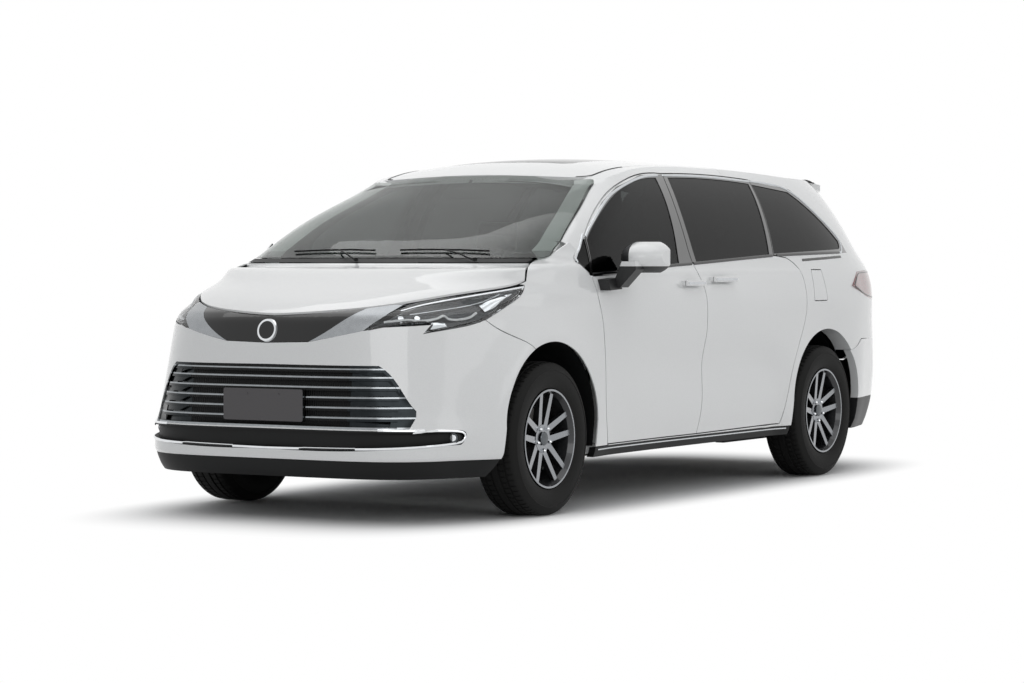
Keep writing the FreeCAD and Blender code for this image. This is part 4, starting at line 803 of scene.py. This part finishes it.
class MINIVAN_OT_tyres(PieceOperator, bpy.types.Operator):
    """Tyres with rounded sidewalls, ribs and cross grooves"""
    bl_idname = "minivan.tyres"
    bl_label = "Tyres"

    def make(self, context):
        depth = context.scene.minivan_sizes.tread_depth
        r, w, bead = TYRE_RADIUS, TYRE_HALF_WIDTH, RIM_RADIUS + 0.0005
        # Half of the section, as (radius, distance from the middle): bead, sidewall, shoulder and then the grooves
        half = [(bead, 0.090), (bead + 0.006, 0.100), (bead + 0.016, 0.104), (bead + 0.022, 0.108),
                (0.300, w - 0.001), (0.322, w - 0.003), (0.325, w - 0.001), (0.329, w - 0.004), (0.348, 0.103),
                (0.3605, 0.094), (0.3645, 0.086)]
        for outer, inner in GROOVES:
            half += [(r - 0.0022, outer + 0.0005), (r - depth, outer - 0.0015), (r - depth, inner + 0.0015),
                     (r - 0.0012, inner - 0.0005)]
        half = [(min(radius, r), out) for radius, out in half]
        profile = half + [(radius, -out) for radius, out in reversed(half)]
        for name, x, side in WHEELS:
            bm = bmesh.new()
            centre = Vector((x, side * WHEEL_Y, WHEEL_Z))
            turned(bm, profile, centre, TREAD_STEPS, side)
            bmesh.ops.remove_doubles(bm, verts=bm.verts, dist=1e-6)
            cut = []
            for face in bm.faces:
                middle = face.calc_center_median() - centre
                radius = math.hypot(middle.x, middle.z)
                turn = int((math.degrees(math.atan2(middle.z, middle.x)) % 360) / (360 / TREAD_STEPS))
                for inner, outer, least, shift in CROSS_CUTS:
                    place = turn + (shift if middle.y > 0 else 0)
                    if inner < abs(middle.y) < outer and radius > least and place % TREAD_PITCH == 0:
                        cut.append(face)
            raised = bmesh.ops.extrude_face_region(bm, geom=cut)
            for item in raised["geom"]:
                if isinstance(item, bmesh.types.BMVert):
                    inwards = Vector((item.co.x - centre.x, 0, item.co.z - centre.z)).normalized()
                    item.co -= inwards * depth * 0.5
            bmesh.ops.delete(bm, geom=cut, context="FACES_ONLY")
            thing = piece("tread_" + name, bm, "tyre_rubber", "wheel_" + name, 30)
            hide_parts("tyre_" + name)


class MINIVAN_OT_brakes(PieceOperator, bpy.types.Operator):
    """Brake discs, wheel nuts and centre caps"""
    bl_idname = "minivan.brakes"
    bl_label = "Brakes and wheel nuts"

    def make(self, context):
        radius = context.scene.minivan_sizes.disc_radius
        vent = radius - 0.006
        # Two faces with a vent between them, then the bell
        section = [(0.068, -0.032), (radius, -0.032), (radius, -0.043), (vent, -0.0445), (vent, -0.0475),
                   (radius, -0.049), (radius, -0.06), (0.092, -0.06), (0.086, -0.052), (0.068, -0.052)]
        for name, x, side in WHEELS:
            rider = "wheel_" + name
            centre = Vector((x, side * WHEEL_Y, WHEEL_Z))
            single("brake_disc_" + name, "machined_grey_iron", "cast_iron", turned, section, centre, 72, side,
                   rider=rider)
            single("centre_cap_" + name, "smoked_chrome_plate", "alloy", turned, CAP_SECTION,
                   centre + Vector((0, side * HUB_FACE, 0)), 40, side, rider=rider)
            bm = bmesh.new()
            for k in range(NUTS):
                angle = math.radians(360 / NUTS * k + FIRST_NUT)
                spot = centre + Vector((NUT_CIRCLE * math.cos(angle), side * HUB_FACE, NUT_CIRCLE * math.sin(angle)))
                disc(bm, spot, (0, side, 0), 0.0105, 0.014, 6, 0.0015)
                disc(bm, spot + Vector((0, side * 0.009, 0)), (0, side, 0), 0.008, 0.006, 16, 0.003)
            piece("wheel_nuts_" + name, bm, "bright_chrome_plate", rider)


class MINIVAN_OT_window_trim(PieceOperator, bpy.types.Operator):
    """Satin strip over the side windows and the black moulding beneath them"""
    bl_idname = "minivan.window_trim"
    bl_label = "Window trim"

    def make(self, context):
        width = context.scene.minivan_sizes.trim_width
        body = skin_of("body_side_left", "body_side_right", "slide_door_left", "slide_door_right", "fender_left",
                       "fender_right", "fixed_side_glass")
        door = skin_of("front_door_left", "front_door_right")
        for name, side in SIDES:
            on_door, on_body = (door, "front_door_" + name), (body, "body")
            for label, (tree, rider), path in (("door", on_door, DOOR_ARC), ("slide", on_body, SLIDE_ARC),
                                               ("rear", on_body, REAR_ARC), ("wedge", on_body, CORNER_PANE)):
                single("trim_%s_%s" % (label, name), "satin_chrome_plate", "bright_trim", ribbon, tree, "side", path,
                       width, TRIM_HEIGHT, side=side, rider=rider)
            for label, (tree, rider), path in (("door", on_door, DOOR_BELT), ("body", on_body, BODY_BELT)):
                single("belt_%s_%s" % (label, name), "gloss_black_abs", "black_plastic", ribbon, tree, "side", path,
                       BELT_WIDTH, BELT_HEIGHT, side=side, rider=rider)


class MINIVAN_OT_front_plate(PieceOperator, bpy.types.Operator):
    """Blank number plate with rounded corners and two bolts"""
    bl_idname = "minivan.front_plate"
    bl_label = "Front plate"

    def make(self, context):
        mount = next(m for m in frame["record"]["mounts"] if m["name"] == "front_plate_bolts")
        z = mount["pos_m"][2]
        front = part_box("lower_grille")[1].x
        bm = bmesh.new()
        middle = Matrix.Translation((front + PLATE_SIZE[0], 0, z - PLATE_BELOW_BOLTS))
        bmesh.ops.create_cube(bm, size=1.0, matrix=middle @ Matrix.Diagonal((*PLATE_SIZE, 1)))
        upright = [e for e in bm.edges if abs(e.verts[0].co.x - e.verts[1].co.x) > 0.001]
        bmesh.ops.bevel(bm, geom=upright, offset=PLATE_CORNER, affect="EDGES", segments=4, profile=0.5, material=-1)
        for y in (-PLATE_BOLT_Y, PLATE_BOLT_Y):
            disc(bm, (front + 0.0045, y, z), (1, 0, 0), 0.006, 0.003, 16, 0.001)
        piece("number_plate", bm, "enamelled_plate")


class MINIVAN_OT_headlamps(PieceOperator, bpy.types.Operator):
    """Housings, light guides and reflectors inside the headlamps, and the trim round them"""
    bl_idname = "minivan.headlamps"
    bl_label = "Headlamps"

    def make(self, context):
        lens = skin_of("headlamps")
        top, foot = corner(LAMP_TOP), corner(LAMP_FOOT)
        for name, side in SIDES:
            single("lamp_housing_" + name, "fluted_lamp_housing", "black_plastic", panel, lens, "corner", foot, top,
                   48, 6, -0.030, 0.002, side)
            single("light_guide_" + name, "frosted_light_guide", "bright_trim", ribbon, lens, "corner",
                   corner(LED_LINE), 0.011, 0.004, side=side, lift=-0.009, steps=60)
            bm = bmesh.new()
            for (lower, upper), steps, lift in ((UPPER_REFLECTOR, 12, -0.016), (LOWER_REFLECTOR, 8, -0.014)):
                panel(bm, lens, "corner", corner(lower), corner(upper), steps, 3, lift, 0.003, side, 0.004)
            for a, b in PROJECTORS:
                point, normal = on_skin(lens, "corner", a, b, side)
                disc(bm, point - normal * 0.022, normal, 0.017, 0.010, 28, 0.004)
            piece("reflectors_" + name, bm, "bright_chrome_plate")
            bm = bmesh.new()
            ribbon(bm, lens, "corner", corner(INNER_STRIP), 0.006, 0.002, side=side, lift=-0.012)
            ribbon(bm, lens, "corner", top[:5], 0.009, 0.0016, side=side, lift=0.001)
            piece("lamp_strip_" + name, bm, "satin_chrome_plate")
            single("lamp_rim_" + name, "gloss_black_abs", "black_plastic", ribbon, lens, "corner", foot,
                   0.005, 0.0012, side=side, steps=110, sink=0.004)


class MINIVAN_OT_front_trim(PieceOperator, bpy.types.Operator):
    """Plain round emblem, the grille's ends, the bright line round the intake and the fog lamps"""
    bl_idname = "minivan.front_trim"
    bl_label = "Front trim"

    def make(self, context):
        insert = skin_of("upper_insert")
        point, normal = on_skin(insert, "front", 0.0, EMBLEM_HEIGHT)
        single("emblem_ring", "bright_chrome_plate", "bright_trim", disc, point + normal * 0.003, normal,
               0.056, 0.012, 64, 0.004)
        single("emblem_field", "gloss_black_abs", "black_plastic", disc, point + normal * 0.0045, normal,
               0.045, 0.012, 64, 0.003)
        grille = skin_of("lower_grille")
        for name, side in SIDES:
            inner, outer = [], []
            for x, y, z in GRILLE_END:
                spot, _ = on_skin(grille, "front", y - GRILLE_END_OVERLAP, z, side)
                inner.append(Vector((spot.x - 0.006, spot.y, z)))
                outer.append(Vector((x - 0.010, side * y, z)))
            single("grille_end_" + name, "smoked_chrome_bars_over_mesh", "bright_trim", plate, inner, outer,
                   6, 28, Vector((-0.003, 0, 0)))
        nose = skin_of("lower_intake", "front_bumper", "air_dam")
        bm = bmesh.new()
        for side in (1, -1):
            ribbon(bm, nose, "front", INTAKE_LINE, 0.011, 0.004, side=side, steps=90)
        piece("intake_line", bm, "bright_chrome_plate")
        for name, side in SIDES:
            spot, _ = on_skin(nose, "front", *FOG_LAMP, side)
            y, z = side * FOG_LAMP[0], FOG_LAMP[1]
            single("fog_lamp_ring_" + name, "smoked_chrome_plate", "bright_trim", disc, (spot.x - 0.004, y, z),
                   (1, 0, 0), 0.027, 0.016, 40, 0.003)
            single("fog_lamp_lens_" + name, "bright_chrome_plate", "lamp_lens", disc, (spot.x + 0.001, y, z),
                   (1, 0, 0), 0.021, 0.012, 40, 0.006)


class MINIVAN_OT_side_trim(PieceOperator, bpy.types.Operator):
    """Mirror glass, handle strips, sill lines, slider rails and the roof's ditch mouldings"""
    bl_idname = "minivan.side_trim"
    bl_label = "Side trim"

    def make(self, context):
        skirts = skin_of("side_skirts")
        roof = skin_of("roof_panel", "body_side_left", "body_side_right")
        body = skin_of("body_side_left", "body_side_right", "fixed_side_glass")
        for name, side in SIDES:
            door, slider = skin_of("front_door_" + name), skin_of("slide_door_" + name)
            bm = bmesh.new()
            aft = Matrix.Rotation(math.radians(-90), 4, "Y")
            made = bmesh.ops.create_cone(bm, cap_ends=True, segments=48, radius1=0.096, radius2=0.093,
                                         depth=0.004, matrix=aft)["verts"]
            x, y, z = MIRROR_GLASS
            for vert in made:
                vert.co = Vector((vert.co.x + x, side * (y + vert.co.y), z + vert.co.z * MIRROR_FLATNESS))
            piece("mirror_glass_" + name, bm, "silvered_mirror_glass", "front_door_" + name)
            for label, tree, rider in (("front", door, "front_door_" + name), ("slide", slider, "body")):
                single("handle_strip_%s_%s" % (label, name), "satin_chrome_plate", "bright_trim", ribbon, tree,
                       "side", HANDLE_STRIPS[label], 0.012, 0.0022, side=side, steps=24, rider=rider)
            single("sill_line_" + name, "satin_chrome_plate", "bright_trim", ribbon, skirts, "side", SILL_LINE,
                   0.007, 0.003, side=side, steps=80)
            single("roof_ditch_" + name, "grained_polypropylene", "black_plastic", ribbon, roof, "top", ROOF_DITCH,
                   0.014, 0.002, side=side, steps=120, sink=0.004)
            single("slider_rail_" + name, "gloss_black_abs", "black_plastic", ribbon, body, "side", SLIDER_RAIL,
                   0.015, 0.002, side=side, steps=40)


class MINIVAN_OT_rear_trim(PieceOperator, bpy.types.Operator):
    """Garnish, third brake lamp, wiper, reflectors and the rims of the tail lamps"""
    bl_idname = "minivan.rear_trim"
    bl_label = "Rear trim"

    def make(self, context):
        gate = skin_of("tailgate", "tailgate_glass")
        tail = skin_of("tail_lamps", "body_side_left", "body_side_right")
        bumper = skin_of("rear_bumper")
        for name, surface, slot, path, width, height, steps in (
                ("tailgate_garnish", "satin_chrome_plate", "bright_trim", GARNISH_LINE, 0.034, 0.008, 50),
                ("third_brake_lamp", "red_acrylic", "red_lens", BRAKE_LAMP_LINE, 0.014, 0.004, 16)):
            bm = bmesh.new()
            for side in (1, -1):
                ribbon(bm, gate, "back", path, width, height, side=side, steps=steps)
            piece(name, bm, surface, "tailgate")
        point, normal = on_skin(gate, "back", *WIPER_PIVOT)
        bm = bmesh.new()
        disc(bm, point + normal * 0.010, normal, 0.022, 0.030, 28, 0.006)
        ribbon(bm, gate, "back", WIPER_ARM, 0.012, 0.006, steps=24, lift=0.012)
        ribbon(bm, gate, "back", WIPER_BLADE, 0.007, 0.006, steps=24, lift=0.004)
        piece("rear_wiper", bm, "grained_polypropylene", "tailgate")
        for name, side in SIDES:
            single("rear_reflector_" + name, "red_acrylic", "red_lens", ribbon, bumper, "back", REFLECTOR_LINE,
                   0.030, 0.004, side=side, steps=14)
            bm = bmesh.new()
            for path in TAIL_LAMP_RIMS:
                ribbon(bm, tail, "side", path, 0.008, 0.003, side=side, steps=40)
            piece("tail_lamp_rim_" + name, bm, "gloss_black_abs")


class MINIVAN_OT_seats(PieceOperator, bpy.types.Operator):
    """Cushions, backs and head restraints of foam under cloth, with their posts and frames"""
    bl_idname = "minivan.seats"
    bl_label = "Seats"

    def make(self, context):
        pads = {}
        for node, x, middles, width, base_z, depth, back, foot in SEAT_ROWS:
            # Each kind of pad: its full size, the radius of its corners and its seams as (axis, distance)
            side_seam = (1, width * SIDE_SEAM_SHARE)
            kinds = {"cushion": ((depth, width, CUSHION_HEIGHT), PAD_CORNER, (side_seam, CUSHION_SEAM)),
                     "back": ((back, width, BACK_THICKNESS), PAD_CORNER, (side_seam, BACK_SEAM)),
                     "rest": (REST_SIZE, REST_CORNER, (REST_SEAM,))}
            for size, radius, seam in kinds.values():
                if size not in pads:
                    pads[size] = stuffed("pad", [v - 2 * PAD_PUFF for v in size], radius, PAD_PUFF, seam)
            lean = Matrix.Rotation(math.radians(-SEAT_LEAN), 4, "Y")
            upright = Matrix.Rotation(math.radians(90), 4, "Y")
            for index, y in enumerate(middles):
                label = "%s_%%s_%d" % (node[:-len("_seats")], index + 1)
                at = Matrix.Translation((x - depth / 2, y, base_z + RECLINER_HEIGHT)) @ lean
                places = {"cushion": Matrix.Translation((x, y, base_z + CUSHION_HEIGHT / 2)),
                          "back": at @ Matrix.Translation((0.005, 0, back / 2)) @ upright,
                          "rest": at @ Matrix.Translation((0.0, 0, back + REST_ABOVE_BACK)) @ upright}
                for kind, (size, _, _) in kinds.items():
                    bm = pads[size].copy()
                    bmesh.ops.transform(bm, matrix=places[kind], verts=bm.verts)
                    pad = piece(label % kind, bm, "woven_seat_cloth", sharp=60)
                    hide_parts(node)
                bm = bmesh.new()
                for dy in (-POST_Y, POST_Y):
                    tube(bm, at @ Vector((0, dy, back - 0.03)), at @ Vector((0, dy, back + 0.06)), POST_RADIUS)
                piece(label % "posts", bm, "bright_chrome_plate")
                half = width / 2 - 0.06
                frame_piece = single(label % "frame", "soft_touch_skin", "dark_plastic", block,
                                     (x - 0.18, y - half, foot), (x + 0.16, y + half, base_z + 0.004), 0.012)
                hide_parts(node)
        for bm in pads.values():
            bm.free()


class MINIVAN_OT_cabin(PieceOperator, bpy.types.Operator):
    """Instrument hood, screen, interior mirror and the moulded linings beside the load space"""
    bl_idname = "minivan.cabin"
    bl_label = "Cabin"

    def make(self, context):
        bm = bmesh.new()
        block(bm, *HOOD_BLOCK)
        block(bm, *SCREEN_SHELL)
        piece("instrument_hood", bm, "soft_touch_skin")
        single("screen", "gloss_black_abs", "dark_plastic", block, *SCREEN_FACE)
        bm = bmesh.new()
        block(bm, *MIRROR_SHELL)
        tube(bm, *MIRROR_STALK)
        piece("interior_mirror", bm, "gloss_black_abs")
        for name, side in SIDES:
            near, far = sorted(side * y for y in LINING_Y)
            single("load_lining_" + name, "soft_touch_skin", "dark_plastic", block,
                   (LINING_X[0], near, LINING_Z[0]), (LINING_X[1], far, LINING_Z[1]), 0.006)


class MINIVAN_OT_stage(PieceOperator, bpy.types.Operator):
    """Studio floor, soft lamps, white surroundings and the camera"""
    bl_idname = "minivan.stage"
    bl_label = "Stage"

    def make(self, context):
        scene = context.scene
        bm = bmesh.new()
        bmesh.ops.create_circle(bm, cap_ends=True, radius=FLOOR_RADIUS, segments=96)
        mesh = bpy.data.meshes.new("studio_floor")
        bm.to_mesh(mesh)
        bm.free()
        floor = bpy.data.objects.new("studio_floor", mesh)
        scene.collection.objects.link(floor)
        mesh.materials.append(finish("studio_floor_paint"))

        world = bpy.data.worlds.new("studio_surroundings")
        scene.world = world
        world.use_nodes = True
        world.node_tree.nodes.clear()
        light = add_node(world, "Background",
                         {"Color": linear("#f4f6f8"), "Strength": SURROUNDINGS_STRENGTH})
        white = add_node(world, "Background", {"Color": (1, 1, 1, 1), "Strength": 1.0})
        mixed = add_node(world, "MixShader", {0: seen_directly(world), 1: light, 2: white})
        add_node(world, "OutputWorld", {"Surface": mixed})

        for name, spot, aim, size, power in LAMPS:
            lamp = bpy.data.lights.new(name, "AREA")
            lamp.shape = "RECTANGLE"
            lamp.size, lamp.size_y = size
            lamp.energy = power
            holder = bpy.data.objects.new(name, lamp)
            holder.location = spot
            holder.rotation_euler = (Vector(aim) - Vector(spot)).to_track_quat("-Z", "Y").to_euler()
            scene.collection.objects.link(holder)

        camera = bpy.data.cameras.new("photo_camera")
        camera.sensor_fit = "HORIZONTAL"
        camera.sensor_width = SENSOR_WIDTH
        camera.lens = CAMERA_FOCAL_PIXELS / PHOTO_WIDTH * SENSOR_WIDTH
        camera.clip_end = 200.0
        holder = bpy.data.objects.new("photo_camera", camera)
        holder.location = CAMERA_PLACE
        yaw, pitch = math.radians(CAMERA_YAW), math.radians(CAMERA_PITCH)
        look = Vector((math.cos(yaw) * math.cos(pitch), math.sin(yaw) * math.cos(pitch), math.sin(pitch)))
        holder.rotation_euler = look.to_track_quat("-Z", "Y").to_euler()
        scene.collection.objects.link(holder)
        scene.camera = holder
        scene.view_settings.view_transform = "Standard"


OPERATORS = (MINIVAN_OT_finishes, MINIVAN_OT_tyres, MINIVAN_OT_brakes, MINIVAN_OT_window_trim,
             MINIVAN_OT_front_plate, MINIVAN_OT_headlamps, MINIVAN_OT_front_trim, MINIVAN_OT_side_trim,
             MINIVAN_OT_rear_trim, MINIVAN_OT_seats, MINIVAN_OT_cabin, MINIVAN_OT_stage)


class MINIVAN_PT_pieces(bpy.types.Panel):
    bl_label = "Minivan"
    bl_idname = "MINIVAN_PT_pieces"
    bl_space_type = "VIEW_3D"
    bl_region_type = "UI"
    bl_category = "Minivan"

    def draw(self, context):
        for operator in OPERATORS:
            self.layout.operator(operator.bl_idname)


CLASSES = (MinivanSizes, MinivanColours) + OPERATORS + (MINIVAN_PT_pieces,)


def register():
    for kind in CLASSES:
        bpy.utils.register_class(kind)
    bpy.types.Scene.minivan_sizes = bpy.props.PointerProperty(type=MinivanSizes)
    bpy.types.Scene.minivan_colours = bpy.props.PointerProperty(type=MinivanColours)


def unregister():
    del bpy.types.Scene.minivan_sizes
    del bpy.types.Scene.minivan_colours
    for kind in reversed(CLASSES):
        bpy.utils.unregister_class(kind)


def main():
    register()
    bpy.ops.minivan.stage()
    bpy.ops.minivan.finishes()
    bpy.ops.minivan.tyres()
    bpy.ops.minivan.brakes()
    bpy.ops.minivan.window_trim()
    bpy.ops.minivan.front_plate()
    bpy.ops.minivan.headlamps()
    bpy.ops.minivan.front_trim()
    bpy.ops.minivan.side_trim()
    bpy.ops.minivan.rear_trim()
    bpy.ops.minivan.seats()
    bpy.ops.minivan.cabin()


if __name__ == "__main__":
    main()
